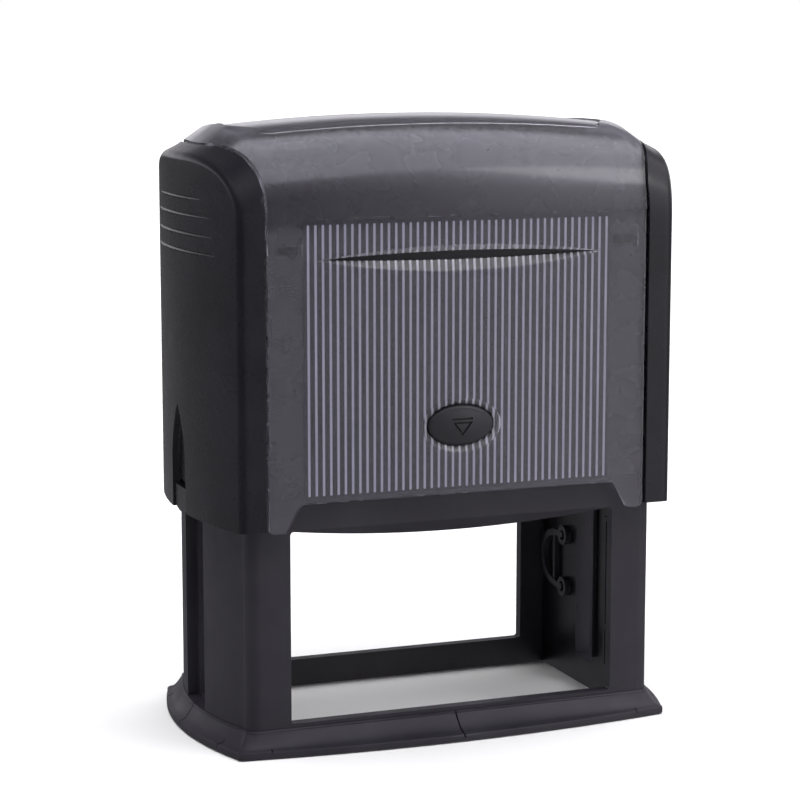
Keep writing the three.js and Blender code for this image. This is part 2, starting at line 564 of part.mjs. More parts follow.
// ---- lock buttons and their leaf springs ----
function makeButtons() {
  // Layers of a button, from the inside out, as distances from the middle plane.
  const [toothNear, flangeNear, flangeFar, capFar, crownFar] = [25.3, 26.5, 27.1, 28.3, 28.75];
  const overlap = 0.1; // by which each layer reaches into the one below
  const crownEdge = 1; // the crown is this much smaller all round
  const [toothX, toothLow, toothHigh] = [3, BUTTON_Z - 4.5, BUTTON_Z - 3.3];
  const [leafX, leafH, leafNear, leafFar] = [12, 1.6, 25.9, 26.1];
  for (const [where, side] of [["front", -1], ["rear", 1]]) {
    const layer = (halfX, halfZ, near, far) => faceRun(side, oval(halfX, halfZ, 0, BUTTON_Z), near, far, 16);
    const flange = layer(...BUTTON_FLANGE, flangeNear, flangeFar);
    const cap = layer(BUTTON_X, BUTTON_H, flangeFar - overlap, capFar);
    const crown = layer(BUTTON_X - crownEdge, BUTTON_H - crownEdge, capFar - overlap, crownFar);
    const toothShape = rectangle(-toothX, toothX, toothLow, toothHigh);
    const tooth = faceRun(side, toothShape, toothNear, flangeNear + overlap);
    add(`${where}_lock_button`, join(flange, cap, crown, tooth), glossBlack);
    const leafShape = rectangle(-leafX, leafX, BUTTON_Z - leafH, BUTTON_Z + leafH);
    add(`${where}_button_spring`, faceRun(side, leafShape, leafNear, leafFar), steel);
  }
}

// ---- return springs ----
function makeReturnSprings() {
  const low = FRAME_TOP + GAP + WIRE_R;
  const high = YOKE_Z - GAP - WIRE_R;
  const sides = 5; // of the wire's section
  const steps = Math.round(10 * SPRING_TURNS);
  class Coil extends THREE.Curve {
    getPoint(t, target = new THREE.Vector3()) {
      const angle = 2 * Math.PI * SPRING_TURNS * t;
      return target.set(SPRING_R * Math.cos(angle), SPRING_R * Math.sin(angle), low + (high - low) * t);
    }
  }
  const curve = new Coil();
  for (const [name, side] of [["return_spring_left", -1], ["return_spring_right", 1]]) {
    const rings = Array.from({ length: steps + 1 }, (_, i) => {
      const centre = curve.getPoint(i / steps);
      const out = new THREE.Vector3(centre.x, centre.y, 0).normalize();
      const across = new THREE.Vector3().crossVectors(curve.getTangent(i / steps), out);
      return Array.from({ length: sides }, (_, k) => {
        const a = (2 * Math.PI * k) / sides;
        const point = centre.clone();
        point.addScaledVector(out, WIRE_R * Math.cos(a));
        point.addScaledVector(across, WIRE_R * Math.sin(a));
        return [point.x + side * SPRING_X, point.y, point.z];
      });
    });
    add(name, loft(rings), steel);
  }
}

makeFrame();
makeCartridge();
makeDie();
makeHousing();
makeYoke();
makeAxlePins();
makeCover();
makeCards();
makeButtons();
makeReturnSprings();

export default meshes;
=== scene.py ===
"""Looks of the self-inking hand stamp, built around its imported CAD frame.

Shapes are drawn in millimetres and scaled to metres when a mesh is made. X runs along the stamp's long
side, -Y is its front, Z is up, and the paper is the plane Z = 0.
"""

import math

import bmesh
import bpy
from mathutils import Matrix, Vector, noise


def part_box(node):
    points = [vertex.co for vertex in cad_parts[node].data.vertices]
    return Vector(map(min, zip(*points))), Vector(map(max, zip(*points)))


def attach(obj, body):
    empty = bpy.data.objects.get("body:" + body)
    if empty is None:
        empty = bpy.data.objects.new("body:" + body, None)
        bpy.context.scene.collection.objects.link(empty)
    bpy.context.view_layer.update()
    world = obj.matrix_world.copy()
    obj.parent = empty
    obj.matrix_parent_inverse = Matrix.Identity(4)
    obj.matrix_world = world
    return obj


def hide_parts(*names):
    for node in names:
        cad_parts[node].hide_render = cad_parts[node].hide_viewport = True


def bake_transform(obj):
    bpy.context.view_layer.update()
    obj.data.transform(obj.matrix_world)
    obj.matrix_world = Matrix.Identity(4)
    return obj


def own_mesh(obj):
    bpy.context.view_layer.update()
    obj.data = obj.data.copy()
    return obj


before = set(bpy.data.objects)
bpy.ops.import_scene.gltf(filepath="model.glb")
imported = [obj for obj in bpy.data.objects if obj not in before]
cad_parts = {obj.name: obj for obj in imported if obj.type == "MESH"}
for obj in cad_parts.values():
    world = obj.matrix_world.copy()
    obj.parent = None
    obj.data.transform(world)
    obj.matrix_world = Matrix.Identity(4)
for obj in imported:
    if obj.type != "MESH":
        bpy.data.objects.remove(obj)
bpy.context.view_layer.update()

MM = 0.001


def size_of(node):
    """Lowest and highest corner of a CAD node, in millimetres."""
    low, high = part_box(node)
    return low / MM, high / MM


# ---- driving dimensions, from the frame where it has them ----
housing_low, housing_high = size_of("housing_shell")
cover_low, cover_high = size_of("clear_cover")
frame_high = size_of("frame")[1]
pin_low, pin_high = size_of("axle_pin_right")
leaf_low, leaf_high = size_of("front_button_spring")

HALF_DEPTH = cover_high.y  # housing and cover, from the middle to the front
HOUSING_LOW = housing_low.z
HOUSING_END = housing_high.x  # where the bowed end wall stands out furthest
END_BOW = 4.8  # how much nearer to the middle that wall is at the corners
SPRING_LINE = 106  # height at which the upright walls turn into the dome
PANEL_X, PANEL_Y, PANEL_BULGE, PANEL_DEPTH = 38, 14, 4.2, 0.4  # sunk panel along the top
CROWN = cover_high.z + PANEL_DEPTH
SHOULDER_X, SHOULDER_Z = 42.5, 126.8  # the arch along X ends here and the bevelled shoulder starts
SEAM_BULGE = 6.2  # how far the seam between the cover and a cheek bows out
SEAM_X = cover_high.x
COVER_X = SEAM_X - SEAM_BULGE  # cover, half length on its flat faces
SEAM_Z, END_TOP = 123.3, 121  # ridge at the seam and at the ends of the cheeks
DOME_POWER = 2.6  # exponent of the dome's section, a superellipse
FLAT_FRONT = HALF_DEPTH - 0.34  # the cover's flat front panel, sunk below the dome
FLAT_TOP = 109.3  # where that flat panel ends
SEAM_GAP = 0.6  # between the cover's edge and the housing's cheek
CREASE = 1.1  # rounding between a cheek and its end wall
WALL = 1.2  # cover thickness
CORE_INSET, CAVITY_INSET = 2.2, 3.3  # from the dome in to the black core, and to the hollow inside it

FRAME_TOP = frame_high.z - 3  # the spring seats stand 3 higher
DECK = 1.9  # thickness of the frame's top
FRAME_X, FRAME_Y, FRAME_BULGE = 45.2, 24.9, 4  # upright walls, and the bow of the end walls
INNER_X, INNER_Y = 41.6, 22.5  # their inner faces
WINDOW_X = 35.95
STRAP_Z, BEAM_Z, BEAM_SAG = 6.05, 46, 2.5  # foot and head of the window, and the sag of the head
BASE_X, BASE_Y, BASE_BULGE_X, BASE_BULGE_Y = 48, 27.3, 4.7, 3.4  # flange
BASE_H = 5.2
CHANNEL_Y, CHANNEL_X = 6.4, 46.6  # half width and floor of the channel up each end wall
SLOT_Y = 4.4  # half width of the slot for the axle pin

AXLE_Z = (pin_low.z + pin_high.z) / 2
BUTTON_Z = (leaf_low.z + leaf_high.z) / 2
BUTTON_A, BUTTON_B = 7.2, 4.15  # half length and half height of the visible oval
BUTTON_FLANGE = 8.8, 5.7  # the hidden flange that keeps the button behind the cover
BUTTON_BACK = 26.15  # where the flange starts, from the middle

CARD_X, CARD_LOW, CARD_HIGH = 33.6, 53.0, 108.4
CARD_NEAR, CARD_FAR = HALF_DEPTH - 1.9, HALF_DEPTH - 1.6
CARD_HOLE = 7.5, 4.45  # half length and half height of the card's opening round the button
STRIPE_X, STRIPE_LOW, STRIPE_HIGH = 32.6, 53.4, 107.9
STRIPES, STRIPE_HALF, STRIPE_RISE = 43, 0.25, 0.025

CLIP_Z = 103.05  # height of the small clips beside the card's top corners
CLIP_NEAR, CLIP_FAR, CLIP_HALF = 34.5, 39.1, 0.95  # their ends along X and half their height
LENS_Z = 100.9  # height of the finger slot's tips
LENS_OUTER = 31.3, 2.3, 3.0  # half length, rise and sag of the slot at the cover's face
LENS_INNER = 30.6, 1.1, 0.75  # and where its lips end
LEG_INNER, LEG_OUTER, LEG_TOP = 34.6, 37.7, 52.1  # slanting inner edge of the cover's short legs
LEAF_REACH, LEAF_HALF, LEAF_FIXED = 12, 1.6, 3  # leaf spring: half length, half height, part under the button

# Height of each grip groove on the end walls, and how far it reaches from the middle.
GRIP_GROOVES = (112.6, 15), (109.1, 19.5), (105.3, 20), (101.7, 21)

FRONT_AND_REAR = ("front", -1), ("rear", 1)
FAR = 200  # longer than any piece, for cutting tools
ARC_STEPS, WALL_STEPS = 56, 8  # divisions of the dome's section over the top and up each wall
CORNER_STEPS, EDGE_SEGMENTS = 6, 2  # divisions of a rounded corner and of an eased edge


# ---- plane outlines ----
def bend(a, control, b, steps):
    """Points along a quadratic curve from a to b, without b itself."""
    out = []
    for i in range(steps):
        t = i / steps
        out.append(tuple((1 - t) ** 2 * p + 2 * t * (1 - t) * c + t * t * q
                         for p, c, q in zip(a, control, b)))
    return out


def full_turn(steps):
    """Angles at equal steps once round a circle."""
    return [math.tau * i / steps for i in range(steps)]


def oval(a, b, at=(0, 0), steps=96):
    """An ellipse with half axes a and b."""
    return [(at[0] + a * math.cos(t), at[1] + b * math.sin(t)) for t in full_turn(steps)]


def rounded(corners, radii):
    """A polygon whose corners are rounded, each by its own radius."""
    out = []
    count = len(corners)
    for i, (corner, radius) in enumerate(zip(corners, radii)):
        p = Vector(corner)
        before = (Vector(corners[i - 1]) - p).normalized()
        after = (Vector(corners[(i + 1) % count]) - p).normalized()
        if radius <= 0:
            out.append(tuple(p))
            continue
        half = math.acos(max(-1, min(1, before.dot(after)))) / 2
        reach = radius / math.tan(half)
        out += bend(tuple(p + before * reach), tuple(p), tuple(p + after * reach), CORNER_STEPS)
        out.append(tuple(p + after * reach))
    return out


def bar(x0, x1, z0, z1, r=0.0):
    """A rectangle with corner radius r."""
    return rounded([(x0, z0), (x1, z0), (x1, z1), (x0, z1)], [r] * 4)


def bowed_rectangle(x, y, bulge_x, bulge_y, r):
    """A rectangle whose sides bow out at their middles, with eased corners."""
    steps, turn = 24, 8
    out = bend((-x + r, -y), (0, -y - 2 * bulge_y), (x - r, -y), steps)
    out += bend((x - r, -y), (x, -y), (x, -y + r), turn)
    out += bend((x, -y + r), (x + 2 * bulge_x, 0), (x, y - r), steps)
    out += bend((x, y - r), (x, y), (x - r, y), turn)
    out += bend((x - r, y), (0, y + 2 * bulge_y), (-x + r, y), steps)
    out += bend((-x + r, y), (-x, y), (-x, y - r), turn)
    out += bend((-x, y - r), (-x - 2 * bulge_x, 0), (-x, -y + r), steps)
    out += bend((-x, -y + r), (-x, -y), (-x + r, -y), turn)
    return out


# ---- solids ----
def add_object(name, data):
    obj = bpy.data.objects.new(name, data)
    bpy.context.scene.collection.objects.link(obj)
    return obj


def new_object(name, points, faces):
    """A closed mesh, given in millimetres, with its faces turned outwards."""
    mesh = bpy.data.meshes.new(name)
    mesh.from_pydata([Vector(p) * MM for p in points], [], faces)
    work = bmesh.new()
    work.from_mesh(mesh)
    bmesh.ops.remove_doubles(work, verts=work.verts, dist=1e-7)
    bmesh.ops.recalc_face_normals(work, faces=work.faces)
    work.to_mesh(mesh)
    work.free()
    return add_object(name, mesh)


def loft(rings, name="tool"):
    """A closed body through matching closed rings; the first and last are capped."""
    n = len(rings[0])
    points = [p for ring in rings for p in ring]
    faces = [tuple(range(n))[::-1], tuple(range(len(points) - n, len(points)))]
    for k in range(len(rings) - 1):
        for i in range(n):
            a, b = k * n + i, k * n + (i + 1) % n
            faces.append((a, b, b + n, a + n))
    return new_object(name, points, faces)


PLACES = {
    "x": lambda u, v, w: (w, u, v),  # an outline in (y, z), run along X
    "y": lambda u, v, w: (u, w, v),  # an outline in (x, z), run along Y
    "z": lambda u, v, w: (u, v, w),  # an outline in (x, y), run along Z
}


def prism(outline, axis, low, high, name="tool"):
    """An outline run along an axis, from low to high."""
    place = PLACES[axis]
    return loft([[place(u, v, w) for u, v in outline] for w in (low, high)], name)


def block(x0, x1, y0, y1, z0, z1, name="tool"):
    return prism([(x0, y0), (x1, y0), (x1, y1), (x0, y1)], "z", z0, z1, name)


def pair(make):
    """The same piece made twice: at the left or front (-1) and at the right or rear (+1)."""
    return [make(-1), make(1)]


def end_block(side, near, far, y0, y1, z0, z1):
    return block(*sorted((side * near, side * far)), y0, y1, z0, z1)


def end_prism(side, outline, near, far):
    return prism(outline, "x", *sorted((side * near, side * far)))


def front_prism(side, outline, near, far):
    """An (x, z) outline run outwards at the front (-1) or rear (+1)."""
    return prism(outline, "y", *sorted((side * near, side * far)))


def front_loft(side, levels, name="tool"):
    """A body through (x, z) outlines, each at its own depth, at the front or rear."""
    return loft([[(x, side * y, z) for x, z in outline] for y, outline in levels], name)


def apply_modifiers(obj):
    """Turns the object's modifiers into its mesh."""
    graph = bpy.context.evaluated_depsgraph_get()
    mesh = bpy.data.meshes.new_from_object(obj.evaluated_get(graph))
    old = obj.data
    obj.modifiers.clear()
    obj.data = mesh
    mesh.name = obj.name
    bpy.data.meshes.remove(old)


def combine(target, tools, operation):
    """Cuts, joins or intersects target with the tools, which are used up."""
    for tool in tools:
        step = target.modifiers.new("step", "BOOLEAN")
        step.operation = operation
        step.solver = "MANIFOLD"
        step.object = tool
    apply_modifiers(target)
    for tool in tools:
        bpy.data.objects.remove(tool)
    return target


def cut(target, *tools):
    return combine(target, tools, "DIFFERENCE")


def join(target, *others):
    return combine(target, others, "UNION")


def common(target, other):
    return combine(target, (other,), "INTERSECT")


def ease_edges(obj, width, angle):
    """Rounds the edges that are sharper than angle, and shades the rest smooth."""
    edge = obj.modifiers.new("edge", "BEVEL")
    edge.width = width * MM
    edge.segments = EDGE_SEGMENTS
    edge.limit_method = "ANGLE"
    edge.angle_limit = math.radians(angle)
    edge.use_clamp_overlap = True
    edge.harden_normals = False
    shade(obj)


def shade(obj, angle=30):
    """Smooth shading that keeps flat faces flat."""
    for face in obj.data.polygons:
        face.use_smooth = True
    obj.data.set_sharp_from_angle(angle=math.radians(angle))
    flat = obj.modifiers.new("flat", "WEIGHTED_NORMAL")
    flat.keep_sharp = True
    flat.weight = 80


# ---- the domed outer form ----
def ridge(x):
    """Height of the dome's ridge at x: a low arch, a bevelled shoulder, then the cheeks."""
    a = abs(x)
    if a <= SHOULDER_X:
        return CROWN - (CROWN - SHOULDER_Z) * (a / SHOULDER_X) ** 2
    if a <= SEAM_X:
        return SHOULDER_Z + (SEAM_Z - SHOULDER_Z) * (a - SHOULDER_X) / (SEAM_X - SHOULDER_X)
    return SEAM_Z + (END_TOP - SEAM_Z) * (a - SEAM_X) / (HOUSING_END - SEAM_X)


def outline_at(x_of, inset, low):
    """Section of the dome from its front foot over the top to its rear foot. x_of(y) gives x."""
    depth = HALF_DEPTH - inset
    heights = [low + (SPRING_LINE - low) * i / WALL_STEPS for i in range(WALL_STEPS)]
    points = [(x_of(-depth), -depth, z) for z in heights]
    for i in range(ARC_STEPS + 1):
        t = math.pi * (i / ARC_STEPS - 0.5)
        y = depth * math.copysign(abs(math.sin(t)) ** (2 / DOME_POWER), t)
        x = x_of(y)
        rise = max(ridge(x) - inset - SPRING_LINE, 0.05)
        points.append((x, y, SPRING_LINE + rise * max(math.cos(t), 0) ** (2 / DOME_POWER)))
    points += [(x_of(depth), depth, z) for z in reversed(heights)]
    return points


def dome(inset, half_x, low, name="tool"):
    """The domed block between x = -half_x and half_x, every face moved in by inset."""
    arch_steps = 18
    arch = [SHOULDER_X * (1 - i / arch_steps) for i in range(arch_steps)]
    stations = [x for x in [SEAM_X] + arch if x < half_x - 0.05]
    xs = [-half_x, *(-x for x in stations), 0, *reversed(stations), half_x]
    return loft([outline_at(lambda y, x=x: x, inset, low) for x in xs], name)


def seam(y):
    """Distance of the cover's end from the middle: straight on its flat walls, bowed over the top."""
    return COVER_X + SEAM_BULGE * max(0, 1 - (y / (HALF_DEPTH - WALL)) ** 2)


def inside_seam(grow=0.0):
    """Upright block inside the two seams, its ends moved out by grow."""
    deep = HALF_DEPTH + 1
    right = [(seam(y) + grow, y) for y in (deep * (i / 32 - 1) for i in range(65))]
    return prism(right + [(-x, y) for x, y in reversed(right)], "z", 0, CROWN + 10)


def end_wall(y):
    """Distance of the bowed end wall from the middle, at depth y."""
    return HOUSING_END - END_BOW * (y / HALF_DEPTH) ** 2


def cheek(side, inner, inset, wall, low, crease, name="tool"):
    """One end of the housing, from x = inner(y) out to its bowed end wall, with a rounded crease."""
    rings = []

    def ring(x_of, d):
        rings.append([(side * x, y, z) for x, y, z in outline_at(x_of, d, low)])

    def reach(y):
        return end_wall(y) - wall

    ease = 0.1
    ring(inner, inset + ease)
    for share in (0, 0.15, 0.35, 0.6, 0.82, 1):
        ring(lambda y, s=share: (inner(y) + ease) * (1 - s) + (reach(y) - crease) * s, inset)
    for i in range(1, 7):
        # The rounded crease, a quarter turn from the cheek to the end wall.
        a = math.pi / 2 * i / 6
        ring(lambda y, a=a: reach(y) - crease + crease * math.sin(a), inset + crease * (1 - math.cos(a)))
    # The end wall, closing in towards the middle.
    for d in (3, 5, 8, 12, 16, 20, 24, 26.4, 28.2):
        if d > inset + crease + 0.3:
            ring(reach, min(d, HALF_DEPTH - 0.2))
    return loft(rings, name)


# ---- materials ----
PLASTIC_IOR = 1.5


def material(name, **shader):
    """A material with its constant values set on the shader's own sockets."""
    made = bpy.data.materials.new(name)
    made.use_nodes = True
    sockets = made.node_tree.nodes["Principled BSDF"].inputs
    for key, value in shader.items():
        sockets[key.replace("_", " ").title().replace("Ior", "IOR")].default_value = value
    return made


class Nodes:
    """Short calls for the few nodes that the materials use."""

    def __init__(self, made):
        self.tree = made.node_tree
        self.shader = self.tree.nodes["Principled BSDF"]
        self.place = self.tree.nodes.new("ShaderNodeTexCoord").outputs["Object"]

    def add(self, kind, source, socket, **values):
        """A new node with source linked to one of its sockets and constant values on others."""
        node = self.tree.nodes.new("ShaderNode" + kind)
        for key, value in values.items():
            node.inputs[key.replace("_", " ").title()].default_value = value
        self.tree.links.new(source, node.inputs[socket])
        return node

    def noise(self, scale, detail=3, roughness=0.5, stretch=(1, 1, 1)):
        """Noise whose features are about 1 / scale metres across."""
        place = self.add("Mapping", self.place, "Vector", scale=stretch).outputs["Vector"]
        node = self.add("TexNoise", place, "Vector", scale=scale, detail=detail, roughness=roughness)
        return node.outputs["Fac"]

    def cells(self, scale):
        """Distance to the nearest of many scattered points, for foam."""
        return self.add("TexVoronoi", self.place, "Vector", scale=scale).outputs["Distance"]

    def ramp(self, source, low, high, at=(0.35, 0.65)):
        """Blends the colour low into the colour high as source rises."""
        node = self.add("ValToRGB", source, "Fac")
        for stop, colour, where in zip(node.color_ramp.elements, (low, high), at):
            stop.color = (*colour, 1)
            stop.position = where
        return node.outputs["Color"]

    def span(self, source, low, high):
        """Spreads source over the values from low to high."""
        node = self.add("MapRange", source, "Value", from_min=0.3, from_max=0.7, to_min=low, to_max=high)
        return node.outputs["Result"]

    def bump(self, source, height, strength=1.0, under=None):
        """Surface relief of a height in metres, on top of the relief under it."""
        node = self.add("Bump", source, "Height", distance=height, strength=strength)
        if under is not None:
            self.tree.links.new(under, node.inputs["Normal"])
        return node.outputs["Normal"]

    def feed(self, **sources):
        """Links each source to the shader's socket of that name."""
        for key, source in sources.items():
            self.tree.links.new(source, self.shader.inputs[key.replace("_", " ").title()])


def moulded(name, dark, light, roughness, grain, height):
    """Injection-moulded plastic: faint mottling, uneven gloss and a fine spark-eroded grain."""
    made = material(name, ior=PLASTIC_IOR)
    nodes = Nodes(made)
    mottle = nodes.noise(60, 4)
    fine = nodes.noise(grain, 2, 0.6)
    nodes.feed(
        base_color=nodes.ramp(mottle, dark, light),
        roughness=nodes.span(nodes.noise(180, 3), *roughness),
        normal=nodes.bump(fine, height, 0.6, nodes.bump(nodes.noise(45, 2), height * 6, 0.15)),
    )
    return made


def make_materials():
    """All materials, by the name of their look."""
    # Each plastic's name, darker and lighter colour, range of roughness, grain scale and grain height.
    plastics = {
        "black_plastic": ("frame_black", (0.019, 0.017, 0.024), (0.027, 0.025, 0.033),
                          (0.42, 0.52), 3800, 0.000012),
        "housing_black": ("housing_black", (0.0055, 0.005, 0.008), (0.009, 0.008, 0.012),
                          (0.24, 0.31), 3000, 0.000005),
        # Inner end walls of the frame: their darker colour is painted shade.
        "shaded_inner_wall": ("frame_inside_shaded", (0.0035, 0.003, 0.005), (0.006, 0.005, 0.008),
                       (0.30, 0.38), 2600, 0.000005),
        "inner_plastic": ("inner_black", (0.010, 0.010, 0.012), (0.018, 0.018, 0.021),
                          (0.5, 0.62), 3000, 0.000012),
        "gloss_black": ("gloss_black", (0.016, 0.015, 0.019), (0.022, 0.021, 0.026),
                        (0.36, 0.42), 2200, 0.000003),
        "grey_plastic": ("die_grey", (0.10, 0.10, 0.11), (0.14, 0.14, 0.15),
                         (0.42, 0.55), 3200, 0.000012),
    }
    made = {look: moulded(*values) for look, values in plastics.items()}

    def start(name, **shader):
        made[name] = material(name, **shader)
        return Nodes(made[name])

    nodes = start("smoke_cover", transmission_weight=0.985, ior=PLASTIC_IOR)
    nodes.feed(
        base_color=nodes.ramp(nodes.noise(25, 0), (0.64, 0.63, 0.71), (0.67, 0.66, 0.74), (0, 1)),
        roughness=nodes.span(nodes.noise(50, 0), 0.108, 0.122),
        normal=nodes.bump(nodes.noise(1300, 0), 0.000002, 0.15),
    )

    # Painted highlight: a pale, nearly untinted copy of the cover for its sloping lips.
    nodes = start("highlight_clear_edge", transmission_weight=0.96, ior=PLASTIC_IOR)
    nodes.feed(
        base_color=nodes.ramp(nodes.noise(90, 2), (0.95, 0.95, 0.97), (0.99, 0.99, 1.0)),
        roughness=nodes.span(nodes.noise(300, 3), 0.10, 0.18),
        normal=nodes.bump(nodes.noise(2400, 2), 0.0000015, 0.3),
    )

    # Painted highlight: a pale, rougher copy of the cover for its upper lip, grooves and lower edges.
    nodes = start("highlight_frosted_edge", transmission_weight=0.86, ior=PLASTIC_IOR)
    nodes.feed(
        base_color=nodes.ramp(nodes.noise(90, 2), (0.66, 0.66, 0.72), (0.80, 0.80, 0.86)),
        roughness=nodes.span(nodes.noise(300, 3), 0.20, 0.30),
    )

    nodes = start("index_card")
    fibres = nodes.noise(900, 5, 0.65, (1, 1, 0.35))
    nodes.feed(
        base_color=nodes.ramp(fibres, (0.009, 0.0085, 0.013), (0.017, 0.016, 0.022)),
        roughness=nodes.span(nodes.noise(300, 2), 0.6, 0.75),
        normal=nodes.bump(fibres, 0.00002, 0.4),
    )

    nodes = start("silver_print")
    nodes.feed(
        base_color=nodes.ramp(nodes.noise(1400, 3), (0.86, 0.85, 0.89), (0.94, 0.93, 0.96)),
        roughness=nodes.span(nodes.noise(800, 2), 0.45, 0.6),
        normal=nodes.bump(nodes.noise(2200, 2), 0.000008, 0.5),
    )

    nodes = start("spring_steel", metallic=1.0)
    drawn = nodes.noise(2400, 4, 0.6, (1, 1, 6))
    nodes.feed(
        base_color=nodes.ramp(nodes.noise(260, 3), (0.50, 0.51, 0.53), (0.66, 0.67, 0.69)),
        roughness=nodes.span(drawn, 0.20, 0.34),
        normal=nodes.bump(drawn, 0.000008, 0.35),
    )

    nodes = start("die_foam")
    pores = nodes.cells(2200)
    nodes.feed(
        # The pits at the pores are painted darker, as painted shade; their depth comes from the bump.
        base_color=nodes.ramp(pores, (0.20, 0.20, 0.22), (0.42, 0.42, 0.45), (0.1, 0.6)),
        roughness=nodes.span(nodes.noise(400, 2), 0.85, 0.97),
        normal=nodes.bump(pores, 0.00012, 0.8),
    )

    nodes = start("die_rubber")
    nodes.feed(
        base_color=nodes.ramp(nodes.noise(150, 4), (0.17, 0.045, 0.035), (0.27, 0.08, 0.06)),
        roughness=nodes.span(nodes.noise(500, 3), 0.6, 0.78),
        normal=nodes.bump(nodes.noise(3000, 3), 0.00002, 0.6),
    )

    nodes = start("ink_felt", sheen_weight=0.25)
    fibre = nodes.noise(1500, 6, 0.7, (1, 2.5, 1))
    nodes.feed(
        base_color=nodes.ramp(fibre, (0.006, 0.006, 0.014), (0.022, 0.022, 0.045)),
        roughness=nodes.span(nodes.noise(90, 3), 0.45, 0.85),
        normal=nodes.bump(fibre, 0.00015, 0.8),
    )
    return made


MATERIALS = make_materials()
# Looks whose slot in the record has another name.
SLOTS = {"housing_black": "black_plastic", "silver_print": "index_card"}


def dress(obj, look, body=None, replaces=()):
    """Gives a piece its material, the body it rides on and the nodes it stands for."""
    obj.data.materials.clear()
    obj.data.materials.append(MATERIALS[look])
    SLOTS.get(look, look)
    if replaces:
        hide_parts(*replaces)
    if body:
        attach(obj, body)


# ---- housing ----
def grip_groove(side, height, reach):
    """Cutter for a tapered groove across the end wall, deepest at its middle."""
    rings = []
    for i in range(25):
        y = reach * (i / 12 - 1)
        r = 0.02 + 0.62 * math.sqrt(max(0, 1 - (y / reach) ** 2)) ** 1.2
        x = end_wall(y) + 0.12
        rings.append([(side * (x + r * math.cos(a)), y, height + 0.8 * r * math.sin(a))
                      for a in full_turn(14)])
    return loft(rings)


def end_arch(inset):
    """Pointed arch low on the end wall, moved in by inset."""
    half, foot, spring = 4.8 - inset, HOUSING_LOW - 2, 58
    apex = 69.4 - 2.2 * inset
    out = [(-half, foot), (half, foot)]
    out += bend((half, spring), (half - 0.7, apex - 5), (0, apex), 14)
    out += bend((0, apex), (-half + 0.7, apex - 5), (-half, spring), 14)
    out.append((-half, spring))
    return out


def end_recess(side):
    """Cutter for the arched recess, with a sloping edge."""
    floor = HOUSING_END - 1.5
    levels = (floor, 0.55), (floor + 0.35, 0.25), (HOUSING_END - 0.35, 0.1), (HOUSING_END + 0.6, -0.45)
    return loft([[(side * x, y, z) for y, z in end_arch(inset)] for x, inset in levels])


def end_tongue(side):
    """Latch tongue in the foot of the recess, with a curved lower edge."""
    half, top, low, bow = 4.2, 52, HOUSING_LOW - 0.45, 0.9
    outline = [(half, top), (-half, top)]
    outline += bend((-half, low + bow), (0, low - bow), (half, low + bow), 12)
    outline.append((half, low + bow))
    return end_prism(side, outline, HOUSING_END - 2.4, HOUSING_END - 0.55)


def clip_outline(end, grow=0.0):
    """The small clip that holds the cover, beside the card's top corner."""
    left, right = sorted((end * (CLIP_NEAR - grow), end * (CLIP_FAR + grow)))
    return bar(left, right, CLIP_Z - CLIP_HALF - grow, CLIP_Z + CLIP_HALF + grow, 0.2)


def tongue_slot(side):
    """Cutter for the slot above the latch tongue."""
    return end_block(side, HOUSING_END - 2.0, HOUSING_END - 0.2, -4.15, 4.15, 52, 52.9)


def make_housing():
    """The black shell: two cheeks with grip grooves and recesses, and a core behind the cover."""
    def beside_cover(y):
        return seam(y) + SEAM_GAP

    shell = cheek(-1, beside_cover, 0, 0, HOUSING_LOW, CREASE, "housing")
    core = common(dome(CORE_INSET, SEAM_X + 1.5, 53.1), inside_seam(1))
    join(shell, cheek(1, beside_cover, 0, 0, HOUSING_LOW, CREASE), core)
    for side in (-1, 1):
        cut(shell, cheek(side, lambda y: -1, CAVITY_INSET, 2.1, HOUSING_LOW - 1, 1))
    cut(shell, *pair(end_recess))
    join(shell, *pair(end_tongue))
    grooves = [grip_groove(s, z, reach) for s in (-1, 1) for z, reach in GRIP_GROOVES]
    cut(shell, *pair(tongue_slot), *grooves)
    # A window for each button, and a pocket that holds the ends of its leaf spring.
    window, pocket = oval(9.5, 6.3, (0, BUTTON_Z), 48), bar(-12.3, 12.3, BUTTON_Z - 2, BUTTON_Z + 2)
    windows = pair(lambda side: front_prism(side, window, 24, 28))
    pockets = pair(lambda side: front_prism(side, pocket, 25.6, 28))
    # Dark slots behind the cover, which its clips snap into.
    clip_slots = [front_prism(s, clip_outline(e), 24.5, 26.8) for s in (-1, 1) for e in (-1, 1)]
    cut(shell, *windows, *pockets, *clip_slots)
    ease_edges(shell, 0.3, 50)
    dress(shell, "housing_black", "housing", ["housing_shell"])


# ---- clear cover ----
def lens(half, rise, sag):
    """The finger slot's pointed outline, with its heights above and below its tips."""
    lower = bend((-half, LENS_Z), (0, LENS_Z - 2 * sag), (half, LENS_Z), 40)
    upper = bend((half, LENS_Z), (0, LENS_Z + 2 * rise), (-half, LENS_Z), 40)
    return lower + upper


def lens_tool(side):
    """Cutter for the finger slot, with sloping lips, the lower one wide and the upper one narrow."""
    levels = ((HALF_DEPTH + 0.5, LENS_OUTER), (FLAT_FRONT, LENS_OUTER),
              (FLAT_FRONT - 0.8, LENS_INNER), (FLAT_FRONT - 2, LENS_INNER))
    return front_loft(side, [(y, lens(*outline)) for y, outline in levels])


def dish_tool(side):
    """Cutter for the button's opening with its dished lip."""
    levels = ((HALF_DEPTH + 0.6, 9.05, 5.85), (FLAT_FRONT, 8.7, 5.5), (FLAT_FRONT - 0.35, 8.45, 5.25),
              (HALF_DEPTH - WALL + 0.15, 7.45, 4.4), (HALF_DEPTH - WALL - 1, 7.45, 4.4))
    return front_loft(side, [(y, oval(a, b, (0, BUTTON_Z))) for y, a, b in levels])


